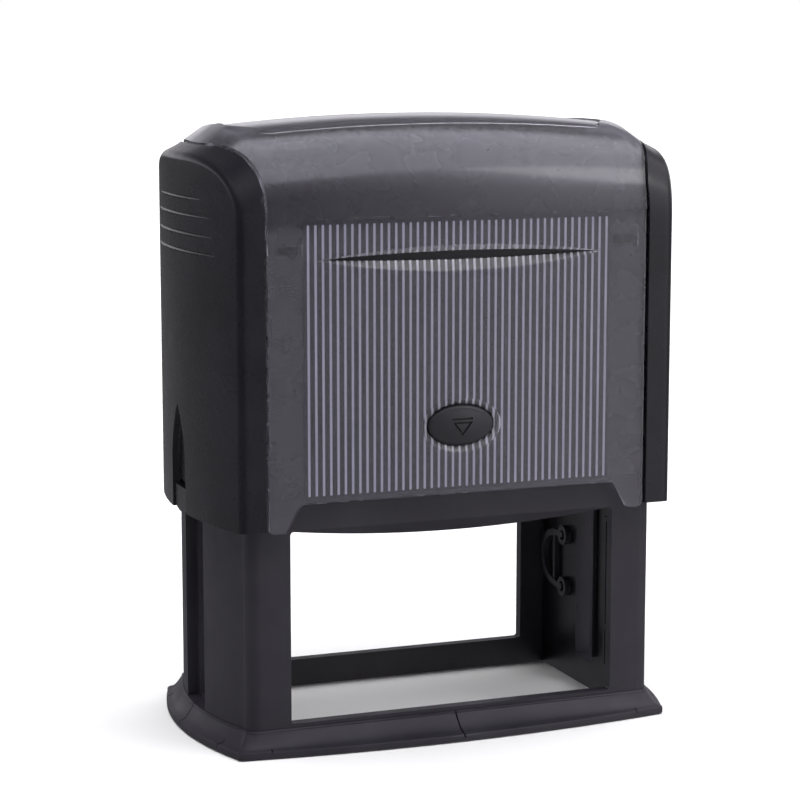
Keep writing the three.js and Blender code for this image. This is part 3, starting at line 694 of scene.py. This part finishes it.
def paint_edge_highlights(cover):
    """Paints a highlight on the sloping lips, the grooves and the lower edges of the cover: they get paler
    materials, and that pale colour is painted highlight.
    """
    clear_highlight_slot, frosted_highlight_slot = 1, 2
    cover.data.materials.append(MATERIALS["highlight_clear_edge"])
    cover.data.materials.append(MATERIALS["highlight_frosted_edge"])
    for face in cover.data.polygons:
        at = face.center / MM
        out = abs(face.normal.y)
        on_front = abs(at.y) > HALF_DEPTH - WALL - 0.05
        near_lens = abs(at.x) < LENS_OUTER[0] + 0.5 and abs(at.z - LENS_Z) < LENS_OUTER[2] + 0.3
        near_dish = (at.x / 9.1) ** 2 + ((at.z - BUTTON_Z) / 5.9) ** 2 < 1
        near_clip = CLIP_NEAR - 0.6 < abs(at.x) < CLIP_FAR + 0.7 and abs(at.z - CLIP_Z) < 1.6
        near_top = abs(at.z - FLAT_TOP) < 0.35
        sloping = out < 0.97
        lip = (near_lens or near_dish) and sloping
        foot = at.z < SPRING_LINE - 1 and out < 0.3 and abs(at.x) < COVER_X + 0.2
        upper_lip = near_lens and at.z > LENS_Z and sloping
        groove = (near_clip or near_top) and sloping
        # Each of these faces gets a painted highlight.
        if on_front and (foot or upper_lip or groove):
            face.material_index = frosted_highlight_slot
        elif on_front and lip:
            face.material_index = clear_highlight_slot


def crown_panel(inset, r, low, high):
    """Upright block with the outline of the panel along the top, moved in by inset."""
    outline = bowed_rectangle(PANEL_X - inset, PANEL_Y - inset, PANEL_BULGE, 0, r)
    return prism(outline, "z", low, high)


def make_cover():
    """The clear cover: a thin dome with flat front and rear, short legs and two kinds of opening."""
    tip = cover_low.z
    cover = common(dome(0, SEAM_X + 0.5, tip - 3, "cover"), inside_seam())
    cut(cover, dome(WALL, SEAM_X + 2, tip - 4))
    cut(cover, *pair(lambda side: front_prism(side, bar(-FAR, FAR, 0, FLAT_TOP), FLAT_FRONT, FAR)))
    step, over, top = 105, SEAM_X + 1, 140
    outline = [(-COVER_X, step), (-COVER_X, tip), (-LEG_OUTER, tip), (-LEG_INNER, LEG_TOP),
               (LEG_INNER, LEG_TOP), (LEG_OUTER, tip), (COVER_X, tip), (COVER_X, step),
               (over, step), (over, top), (-over, top), (-over, step)]
    radii = [0, 1.3, 1.3, 1.2, 1.2, 1.3, 1.3, 0, 0, 0, 0, 0]
    common(cover, prism(rounded(outline, radii), "y", -FAR, FAR))
    # A clip outline beside each top corner of the card, and a fine groove where the flat front ends.
    clips = []
    for side, end in ((s, e) for s in (-1, 1) for e in (-1, 1)):
        ring = front_prism(side, clip_outline(end, 0.4), FLAT_FRONT - 0.35, FLAT_FRONT + 1)
        clips.append(cut(ring, front_prism(side, clip_outline(end), 20, FAR)))
    groove = bar(-FAR, FAR, FLAT_TOP - 0.3, FLAT_TOP)
    grooves = pair(lambda side: front_prism(side, groove, FLAT_FRONT - 0.25, FAR))
    cut(cover, *pair(dish_tool), *clips, *grooves)
    # Shallow panel along the top, with a finer groove round its edge.
    panel = crown_panel(0, 2.5, 118, 140)
    cut(panel, dome(PANEL_DEPTH, SEAM_X, 100))
    edge = crown_panel(0, 2.5, 118, 140)
    cut(edge, crown_panel(0.35, 2.2, 117, 141), dome(PANEL_DEPTH + 0.3, SEAM_X, 100))
    cut(cover, panel, edge)
    ease_edges(cover, 0.18, 40)
    # The finger slot comes last, because its acute tips leave no room for an eased edge.
    cut(cover, *pair(lens_tool))
    shade(cover)
    dress(cover, "smoke_cover", "housing", ["clear_cover"])
    paint_edge_highlights(cover)


# ---- index cards ----
def card_openings(side):
    """Cutters for the card's holes round the button and behind the finger slot."""
    holes = oval(*CARD_HOLE, (0, BUTTON_Z)), lens(*LENS_INNER)
    return [front_prism(side, hole, 20, 30) for hole in holes]


def card_stripes(side, name):
    """The card's upright stripes, as thin raised bars in one mesh."""
    pitch = 2 * STRIPE_X / (STRIPES - 1)
    points, faces = [], []
    for i in range(STRIPES):
        x = -STRIPE_X + pitch * i
        outline = bar(x - STRIPE_HALF, x + STRIPE_HALF, STRIPE_LOW, STRIPE_HIGH, 0.2)
        base = len(points)
        n = len(outline)
        for y in (CARD_FAR - 0.01, CARD_FAR + STRIPE_RISE):
            points += [(u, side * y, v) for u, v in outline]
        faces += [tuple(base + k for k in range(n)), tuple(base + n + k for k in range(n))[::-1]]
        for k in range(n):
            after = (k + 1) % n
            faces.append((base + k, base + after, base + n + after, base + n + k))
    return new_object(name, points, faces)


def make_cards():
    """The striped card on both sides, and the plain strip under the panel on the crown."""
    for where, side in FRONT_AND_REAR:
        card = front_prism(side, bar(-CARD_X, CARD_X, CARD_LOW, CARD_HIGH, 0.8), CARD_NEAR, CARD_FAR)
        card.name = f"{where}_card"
        cut(card, *card_openings(side))
        shade(card)
        dress(card, "index_card", "housing", [f"{where}_index_card"])
        stripes = card_stripes(side, f"{where}_card_stripes")
        cut(stripes, *card_openings(side))
        dress(stripes, "silver_print", "housing")

    top = dome(1.6, 36, 100, name="top_card")
    cut(top, dome(1.9, 37, 99))
    common(top, prism(bar(-35.6, 35.6, -12.3, 12.3, 2), "z", 119, 130))
    shade(top)
    dress(top, "index_card", "housing", ["top_index_card"])


# ---- lock buttons and leaf springs ----
def button_body(side, top, name):
    """An oval button on its flange, with a tall rim and a gently crowned face."""
    levels = []

    def ring(a, b, y):
        levels.append((y, oval(a, b, (0, BUTTON_Z))))

    edge = 0.9  # width of the rounded rim
    step = BUTTON_BACK + 0.35
    ring(*BUTTON_FLANGE, BUTTON_BACK)
    ring(*BUTTON_FLANGE, step)
    ring(BUTTON_A, BUTTON_B, step)
    for i in range(1, 9):
        a = math.pi / 2 * i / 8
        shrink = edge * (1 - math.cos(a))
        ring(BUTTON_A - shrink, BUTTON_B - shrink, top - 1.3 + 0.75 * math.sin(a))
    for i in range(1, 12):
        s = 1 - i / 12
        ring((BUTTON_A - edge) * s, (BUTTON_B - edge) * s, top - 0.55 + 0.55 * (1 - s * s))
    return front_loft(side, levels, name)


def button_mark(side, top):
    """Cutters for the symbol: a bar above an outlined triangle that points down."""
    outer = [(-2.25, BUTTON_Z + 0.75), (2.25, BUTTON_Z + 0.75), (0, BUTTON_Z - 2.15)]
    inner = [(-1.5, BUTTON_Z + 0.42), (1.5, BUTTON_Z + 0.42), (0, BUTTON_Z - 1.5)]
    line = bar(-2.25, 2.25, BUTTON_Z + 1.15, BUTTON_Z + 1.6)
    triangle = cut(front_prism(side, outer, top - 0.5, top + 1), front_prism(side, inner, top - 1, top + 2))
    return [triangle, front_prism(side, line, top - 0.5, top + 1)]


def leaf_half(where, side, end):
    """Half a leaf spring, divided along its length so that it can bend."""
    outline = bar(*sorted((0, end * LEAF_REACH)), BUTTON_Z - LEAF_HALF, BUTTON_Z + LEAF_HALF, 0.3)
    leaf = front_prism(side, outline, 25.9, 26.1)
    leaf.name = f"{where}_leaf_{'left' if end < 0 else 'right'}"
    refine = bmesh.new()
    refine.from_mesh(leaf.data)
    for i in range(1, LEAF_REACH):
        bmesh.ops.bisect_plane(refine, geom=refine.verts[:] + refine.edges[:] + refine.faces[:],
                               plane_co=(end * i * MM, 0, 0), plane_no=(1, 0, 0))
    refine.to_mesh(leaf.data)
    refine.free()
    shade(leaf)
    return leaf


def make_buttons():
    """Each lock button with its tooth and symbol, and the leaf spring behind it."""
    top = HALF_DEPTH + 0.25
    for where, side in FRONT_AND_REAR:
        button = button_body(side, top, f"{where}_button")
        join(button, front_prism(side, bar(-3, 3, BUTTON_Z - 4.5, BUTTON_Z - 3.3), 25.3, 26.6))
        cut(button, *button_mark(side, top))
        ease_edges(button, 0.07, 40)
        dress(button, "gloss_black", f"{where}_button", [f"{where}_lock_button"])

        # The leaf bends between its pocket ends and the button, so each half is a piece of its own.
        for end in (-1, 1):
            leaf = leaf_half(where, side, end)
            dress(leaf, "spring_steel", None, [f"{where}_button_spring"])
            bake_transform(leaf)


# ---- frame ----
def base_flange():
    """The flange: rounded rim, concave slope and a thin raised line where it meets the walls."""
    rim = bowed_rectangle(BASE_X, BASE_Y, BASE_BULGE_X, BASE_BULGE_Y, 1.5)
    foot = bowed_rectangle(FRAME_X, FRAME_Y, FRAME_BULGE, 0, 3)

    def ring(share, z):
        return [(a[0] + (b[0] - a[0]) * share, a[1] + (b[1] - a[1]) * share, z) for a, b in zip(rim, foot)]

    rings = [ring(0.1, 0), ring(0, 0.3), ring(0, 1.25), ring(0.03, 1.55), ring(0.12, 1.75)]
    for i in range(1, 9):
        s = 0.12 + 0.76 * i / 8
        rings.append(ring(s, 1.75 + 3.0 * (1 - math.cos(math.pi / 2 * i / 8))))
    rings += [ring(0.88, 5.0), ring(0.93, BASE_H), ring(1.02, BASE_H)]
    return loft(rings)


def window_outline():
    """The window over the paper: square at its foot, with a sagging crossbeam above."""
    x, top = WINDOW_X, BEAM_Z - 0.1
    outline = bend((-x, STRAP_Z + 0.8), (-x, STRAP_Z), (-x + 0.8, STRAP_Z), CORNER_STEPS)
    outline += bend((x - 0.8, STRAP_Z), (x, STRAP_Z), (x, STRAP_Z + 0.8), CORNER_STEPS)
    outline += bend((x, BEAM_Z - 1), (x, BEAM_Z), (x - 1, top), CORNER_STEPS)
    outline += bend((x - 1, top), (0, BEAM_Z - 2 * BEAM_SAG), (-x + 1, top), 40)
    return outline + bend((-x + 1, top), (-x, BEAM_Z), (-x, BEAM_Z - 1), CORNER_STEPS)


def frame_cutters():
    """Cutters for the hollow, the windows, the sloping deck and the slots of the frame."""
    deck_low = FRAME_TOP - DECK
    over = FRAME_TOP + 5
    outside = FRAME_Y + 1
    tools = [
        block(-INNER_X, INNER_X, -INNER_Y, INNER_Y, -1, deck_low),
        prism(window_outline(), "y", -outside, outside),
        block(-40, 40, -outside, outside, 60.5, deck_low),
    ]
    for side in (-1, 1):
        # The deck slopes down towards the front and the rear.
        slope = [(side * 18.5, over), (side * 18.5, FRAME_TOP), (side * 26, 64.2), (side * 26, over)]
        tools.append(prism(slope, "x", -60, 60))
        # The crossbeam's lower face slopes inwards.
        chamfer = [(side * FRAME_Y, 46.1), (side * outside, 46.1), (side * outside, 40),
                   (side * (FRAME_Y - 4.3), 40)]
        tools.append(prism(chamfer, "x", -WINDOW_X + 0.3, WINDOW_X - 0.3))
        # A channel up each end wall, and through it the slot in which the axle pin slides.
        tools.append(end_block(side, CHANNEL_X, 60, -CHANNEL_Y, CHANNEL_Y, BASE_H, over))
        tools.append(end_block(side, 41, 47.5, -SLOT_Y, SLOT_Y, STRAP_Z, AXLE_Z + 4.8))
        # Room for the button on the crossbeam, and the notch for its tooth.
        tools.append(front_prism(side, bar(-13, 13, 52.5, over), FRAME_Y - 0.9, outside))
        tools.append(front_prism(side, bar(-4, 4, 53.4, 55.2), FRAME_Y - 1.5, outside))
    return tools


def alignment_marks():
    """Fine grooves across the flange that show where the print will fall, and wedges at its corners."""
    line, wedge, low, high = 0.16, 0.55, 0.9, 6
    tools = []
    for side in (-1, 1):
        outside = side * (BASE_Y + BASE_BULGE_Y + 1)
        tools.append(block(-line, line, *sorted((side * (FRAME_Y + 0.2), outside)), low, high))
        for x in (-41, 41):
            section = [(x - wedge, high), (x + wedge, high), (x + 0.02, low), (x - 0.02, low)]
            tools.append(prism(section, "y", *sorted((side * (BASE_Y - 0.3), outside))))
        for y in (0, -19, 19):
            near, far = FRAME_X + 3.2, BASE_X + BASE_BULGE_X + 1
            tools.append(end_block(side, near, far, y - line, y + line, low, high))
    return tools


def cam_outline(side):
    """Raised cam outline on an end wall: a D with an eye at both ends, and its upright."""
    near, far = 40.2, INNER_X + 0.3
    cam_y, low, high, half = 9.3, 20.8, 32.7, 0.6  # half is half the width of the ridge
    middle = (low + high) / 2
    outer = bend((cam_y, low - half), (20, low - 1.5), (20.4, middle), 16)
    outer += bend((20.4, middle), (20, high + 1.5), (cam_y, high + half), 16)
    outer.append((cam_y, high + half))
    inner = bend((cam_y, high - half), (18.6, high - 0.2), (19, middle), 16)
    inner += bend((19, middle), (18.6, low + 0.2), (cam_y, low + half), 16)
    inner.append((cam_y, low + half))
    pieces = [end_prism(side, outer + inner, near, far)]
    for z in (low, high):
        eye = end_prism(side, oval(2.2, 2.2, (cam_y, z), 32), near, far)
        pieces.append(cut(eye, end_prism(side, oval(1.2, 1.2, (cam_y, z), 24), 40, INNER_X)))
    pieces.append(end_block(side, 40.4, far, 13.4, 14.4, low - 0.2, high + 0.2))
    return pieces


def inner_ribs(side):
    """Ribs on the front half of an end wall's inner face."""
    near, far = 40.75, INNER_X + 0.3  # clear of the die plate's noses
    sections = ((-SLOT_Y - 1.6, -SLOT_Y - 0.4, 8, 44), (-12.2, -11.2, 8, 41), (-17, -11.2, 16, 17),
                (-17, -11.2, 40, 41))
    return [end_block(side, near, far, *section) for section in sections]


def make_frame():
    """The one black moulding that stands on the paper and carries the springs and the ink cartridge."""
    body = prism(bowed_rectangle(FRAME_X, FRAME_Y, FRAME_BULGE, 0, 3), "z", 0, FRAME_TOP, "stamp_frame")
    join(body, base_flange())
    cut(body, *frame_cutters())
    # Ledges that hold the cartridge, the reliefs on the end walls, and the spring seats.
    additions = pair(lambda side: end_block(side, 38.8, INNER_X + 0.2, -21.5, 21.5, 62.4, 63.1))
    for side in (-1, 1):
        additions += cam_outline(side) + inner_ribs(side)
        seat = oval(3.6, 3.6, (side * 24, 0), 40)
        additions.append(prism(seat, "z", FRAME_TOP - 0.5, frame_high.z))
    join(body, *additions)
    cut(body, *alignment_marks())
    ease_edges(body, 0.28, 35)
    dress(body, "black_plastic", "frame", ["frame"])
    # The inner faces of the end walls are smoother, and painted darker as painted shade inside the frame.
    body.data.materials.append(MATERIALS["shaded_inner_wall"])
    for face in body.data.polygons:
        at = face.center / MM
        if abs(abs(at.x) - INNER_X) < 0.1 and abs(face.normal.x) > 0.9 and at.z < BEAM_Z + 4:
            face.material_index = 1


# ---- return springs ----
def make_return_springs():
    """Coil springs that stand on the frame's seats and shorten as the housing goes down."""
    turns, radius, wire, sides, per_turn = 7.5, 5.5, 0.45, 14, 48
    flat = 0.09  # share of the wire in each flat end turn
    for where, node in (("left", "return_spring_left"), ("right", "return_spring_right")):
        low, high = size_of(node)
        middle = (low.x + high.x) / 2
        z0, z1 = low.z + wire, high.z - wire
        rings = []
        steps = int(turns * per_turn)
        for i in range(steps + 1):
            t = i / steps
            # The first and last turns lie flat, and the turns between carry the rise.
            climb = min(max((t - flat) / (1 - 2 * flat), 0), 1)
            z = z0 + (z1 - z0) * (0.03 * t + 0.97 * climb)
            a = math.tau * turns * t
            out = Vector((math.cos(a), math.sin(a), 0))
            centre = Vector((middle, 0, z)) + out * radius
            rings.append([tuple(centre + out * wire * math.cos(b) + Vector((0, 0, wire * math.sin(b))))
                          for b in full_turn(sides)])
        spring = loft(rings, f"spring_{where}")
        shade(spring)
        dress(spring, "spring_steel", "frame", [node])
        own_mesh(spring)


# ---- axle pins, ink pad, die foam and rubber ----
def make_axle_pins():
    for name in ("axle_pin_left", "axle_pin_right"):
        low, high = size_of(name)
        r = (high.z - low.z) / 2
        tip, chamfer = 0.78, 0.35  # share of the radius left at both tips, and the length of the chamfer
        stations = (low.x, tip), (low.x + chamfer, 1), (high.x - chamfer, 1), (high.x, tip)
        rings = [[(x, k * r * math.cos(a), AXLE_Z + k * r * math.sin(a)) for a in full_turn(48)]
                 for x, k in stations]
        pin = loft(rings, name.replace("axle_", "steel_"))
        shade(pin)
        dress(pin, "spring_steel", "housing", [name])


def soft_block(node, name, crown):
    """A soft slab in its CAD solid's space, with rounded edges and a slightly uneven face."""
    corner = 0.012  # how much of its length and width each corner loses
    low, high = size_of(node)
    middle, half = (low + high) / 2, (high - low) / 2
    nx, ny = 60, 32
    edge = min(0.7, half.z * 0.9)
    points, faces = [], []
    index = {}

    def vertex(i, j, level):
        u, v = -1 + 2 * i / nx, -1 + 2 * j / ny
        rim = max(abs(u), abs(v)) ** 14
        swell = (1 - rim) * (0.7 + 0.3 * noise.noise(Vector((u * 6, v * 4, level * 3.1))))
        z = level * (half.z - edge * rim - crown + crown * swell)
        ease = 1 - corner * rim * (abs(u * v) ** 6)
        points.append((middle.x + half.x * u * ease, middle.y + half.y * v * ease, middle.z + z))
        index[(i, j, level)] = len(points) - 1

    for level in (-1, 1):
        for i in range(nx + 1):
            for j in range(ny + 1):
                vertex(i, j, level)
        for i in range(nx):
            for j in range(ny):
                square = (i, j), (i + 1, j), (i + 1, j + 1), (i, j + 1)
                faces.append(tuple(index[(*corner_at, level)] for corner_at in square))
    border = [(i, 0) for i in range(nx)] + [(nx, j) for j in range(ny)]
    border += [(nx - i, ny) for i in range(nx)] + [(0, ny - j) for j in range(ny)]
    for k, here in enumerate(border):
        after = border[(k + 1) % len(border)]
        faces.append((index[(*here, -1)], index[(*after, -1)], index[(*after, 1)], index[(*here, 1)]))
    slab = new_object(name, points, faces)
    shade(slab, 60)
    return slab


def make_soft_pieces():
    pad = soft_block("ink_pad", "felt_pad", 0.18)
    dress(pad, "ink_felt", "frame", ["ink_pad"])
    foam = soft_block("die_cushion", "foam_sheet", 0.05)
    dress(foam, "die_foam", "die", ["die_cushion"])


def make_rubber_die():
    """Rubber sheet with a raised blank pattern: a border and four plain bars on tapered shoulders."""
    low, high = size_of("rubber_die")
    sheet_top = high.z - 1.1
    half_x, half_y = high.x, high.y
    sheet = prism(bar(-half_x, half_x, -half_y, half_y, 1), "z", low.z, sheet_top, "rubber_sheet")

    # Levels of the relief's foot, neck and printing face, each with how much wider it is there.
    foot, neck, face = (0.45, sheet_top - 0.1), (0.12, high.z - 0.35), (0, high.z)
    border_x, border_y, line = 34.5, 16.2, 1
    bar_x, bar_half, shorter = border_x - 5, 1.3, 7  # each bar is shorter than the one before

    def relief(outline_of, levels=(foot, neck, face)):
        return loft([[(x, y, z) for x, y in outline_of(grow)] for grow, z in levels])

    def outer(grow):
        return bar(-border_x - grow, border_x + grow, -border_y - grow, border_y + grow, 1)

    def inner(grow):
        x, y = border_x - line, border_y - line
        return bar(-x + grow, x - grow, -y + grow, y - grow, 0.6)

    border = relief(outer)
    cut(border, relief(inner, ((0.45, sheet_top - 1), (0.45, sheet_top), neck, (0, high.z + 1))))
    bars = []
    for i, y in enumerate((-10.5, -3.5, 3.5, 10.5)):
        bars.append(relief(lambda grow, i=i, y=y: bar(-bar_x - grow, bar_x - shorter * i + grow,
                                                      y - bar_half - grow, y + bar_half + grow, 0.5)))
    join(sheet, border, *bars)
    ease_edges(sheet, 0.1, 50)
    dress(sheet, "die_rubber", "die", ["rubber_die"])


def finish_cad_nodes():
    """The plain inner mouldings keep their CAD shape and get eased edges and a moulded surface."""
    looks = {"die_plate": "grey_plastic", "cartridge_tray": "inner_plastic", "die_yoke": "inner_plastic"}
    for node, look in looks.items():
        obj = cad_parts[node]
        weld = obj.modifiers.new("weld", "WELD")
        weld.merge_threshold = 1e-6
        ease_edges(obj, 0.15, 35)
        obj.data.materials.clear()
        obj.data.materials.append(MATERIALS[look])


# ---- studio ----
CAMERA_AZIMUTH, CAMERA_ELEVATION = -21.07, 8.88  # degrees round the stamp, and above the horizon
CAMERA_DISTANCE, CAMERA_RIGHT, CAMERA_UP = 522.7, -2.5, 66.5
CAMERA_LENS = 107.25


def make_camera():
    """A long lens, from the front and left of the stamp and a little above it."""
    a, e = math.radians(CAMERA_AZIMUTH), math.radians(CAMERA_ELEVATION)
    back = Vector((math.sin(a) * math.cos(e), -math.cos(a) * math.cos(e), math.sin(e)))
    right = Vector((math.cos(a), math.sin(a), 0))
    camera = add_object("camera", bpy.data.cameras.new("camera"))
    camera.location = (back * CAMERA_DISTANCE + right * CAMERA_RIGHT + back.cross(right) * CAMERA_UP) * MM
    camera.rotation_mode = "QUATERNION"
    camera.rotation_quaternion = (-back).to_track_quat("-Z", "Y")
    camera.data.lens = CAMERA_LENS
    camera.data.sensor_width = 36
    camera.data.clip_start, camera.data.clip_end = 0.01, 20
    bpy.context.scene.camera = camera


def softbox(name, place, aim, width, height, power):
    """A rectangular lamp that faces a point."""
    lamp = bpy.data.lights.new(name, "AREA")
    lamp.shape = "RECTANGLE"
    lamp.size, lamp.size_y = width, height
    lamp.energy = power
    obj = add_object(name, lamp)
    obj.location = place
    obj.rotation_mode = "QUATERNION"
    obj.rotation_quaternion = (Vector(aim) - Vector(place)).to_track_quat("-Z", "Y")


def make_world():
    """White backdrop for the camera. Reflections see a dark room with a pale ceiling and a white rear."""
    world = bpy.data.worlds.new("studio")
    world.use_nodes = True
    tree = world.node_tree
    links = tree.links
    place = tree.nodes.new("ShaderNodeTexCoord")
    axes = tree.nodes.new("ShaderNodeSeparateXYZ")
    links.new(place.outputs["Generated"], axes.inputs[0])

    def spread(stops, axis):
        """Brightness along an axis, from pairs of direction (-1 to 1) and grey."""
        span = tree.nodes.new("ShaderNodeMapRange")
        span.inputs["From Min"].default_value = -1
        ramp = tree.nodes.new("ShaderNodeValToRGB")
        elements = ramp.color_ramp.elements
        for where, grey in stops:
            elements.new((where + 1) / 2).color = (grey, grey, grey, 1)
        elements.remove(elements[0])
        elements.remove(elements[-1])
        links.new(axes.outputs[axis], span.inputs["Value"])
        links.new(span.outputs["Result"], ramp.inputs["Fac"])
        return ramp.outputs["Color"]

    def mathed(operation, a, b):
        node = tree.nodes.new("ShaderNodeMath")
        node.operation = operation
        links.new(a, node.inputs[0])
        links.new(b, node.inputs[1])
        return node.outputs["Value"]

    rear = mathed("MULTIPLY", spread(LOW_BAND, "Z"), spread(REAR, "Y"))
    front = mathed("MULTIPLY", spread(CEILING, "Z"), spread(FRONT, "Y"))
    right = mathed("MULTIPLY", spread(RIGHT_BAND, "Z"), spread(RIGHT, "X"))
    right = mathed("MULTIPLY", right, spread(RIGHT_FRONT, "Y"))
    light = mathed("ADD", mathed("ADD", front, rear), right)
    room = tree.nodes.new("ShaderNodeBackground")
    room.inputs["Color"].default_value = (0.96, 0.94, 1.0, 1)
    links.new(light, room.inputs["Strength"])
    backdrop = tree.nodes["Background"]
    backdrop.inputs["Color"].default_value = (1, 1, 1, 1)
    rays = tree.nodes.new("ShaderNodeLightPath")
    mix = tree.nodes.new("ShaderNodeMixShader")
    links.new(rays.outputs["Is Camera Ray"], mix.inputs["Fac"])
    links.new(room.outputs["Background"], mix.inputs[1])
    links.new(backdrop.outputs["Background"], mix.inputs[2])
    links.new(mix.outputs["Shader"], tree.nodes["World Output"].inputs["Surface"])
    bpy.context.scene.world = world


def daylight(strength, spread):
    """Soft light from above that lights the floor evenly and leaves no reflection."""
    lamp = bpy.data.lights.new("daylight", "SUN")
    lamp.energy = strength
    lamp.angle = math.radians(spread)
    add_object("daylight", lamp).visible_glossy = False


# The room's brightness along one axis of a direction, from -1 to 1.
CEILING = ((-0.99, 0.10), (0.0, 0.08), (0.40, 0.10), (0.60, 0.30), (0.80, 0.60), (0.92, 0.60), (0.99, 0.30))
FRONT = ((-0.99, 1.0), (-0.2, 1.0), (0.2, 0.35), (0.99, 0.35))
LOW_BAND = ((-0.99, 0.20), (-0.22, 0.24), (-0.10, 0.14), (-0.02, 0.08), (0.08, 1.0), (0.20, 1.0),
            (0.36, 0.10), (0.99, 0.0))
REAR = ((-0.99, 0.05), (-0.35, 0.08), (0.35, 0.8), (0.99, 0.9))
RIGHT = ((-0.99, 0.0), (0.28, 0.0), (0.36, 0.5), (0.45, 1.7), (0.60, 1.7), (0.90, 0.3), (0.99, 0.3))
RIGHT_FRONT = ((-0.99, 1.0), (0.2, 1.0), (0.5, 0.1), (0.99, 0.0))
RIGHT_BAND = ((-0.99, 0.0), (-0.45, 0.3), (-0.10, 0.5), (0.30, 0.8), (0.60, 1.0), (0.80, 0.3), (0.99, 0.0))


def make_studio():
    """White floor just under the stamp, and soft light from above and from the right."""
    floor = prism(oval(6000, 6000, steps=64), "z", -1.05, -0.05, "floor")
    floor.visible_glossy = False
    paper = material("floor_paper", roughness=0.9)
    nodes = Nodes(paper)
    nodes.feed(base_color=nodes.ramp(nodes.noise(30, 2), (0.96, 0.96, 0.96), (0.98, 0.98, 0.98)))
    floor.data.materials.append(paper)
    make_world()
    daylight(strength=3.4, spread=84)
    softbox("right_front", place=(0.33, -0.38, 0.48), aim=(0.03, -0.02, 0.115),
            width=0.16, height=0.20, power=0.20)
    bpy.context.scene.view_settings.view_transform = "Standard"


make_frame()
make_housing()
make_cover()
make_cards()
make_buttons()
make_return_springs()
make_axle_pins()
make_soft_pieces()
make_rubber_die()
finish_cad_nodes()
make_camera()
make_studio()
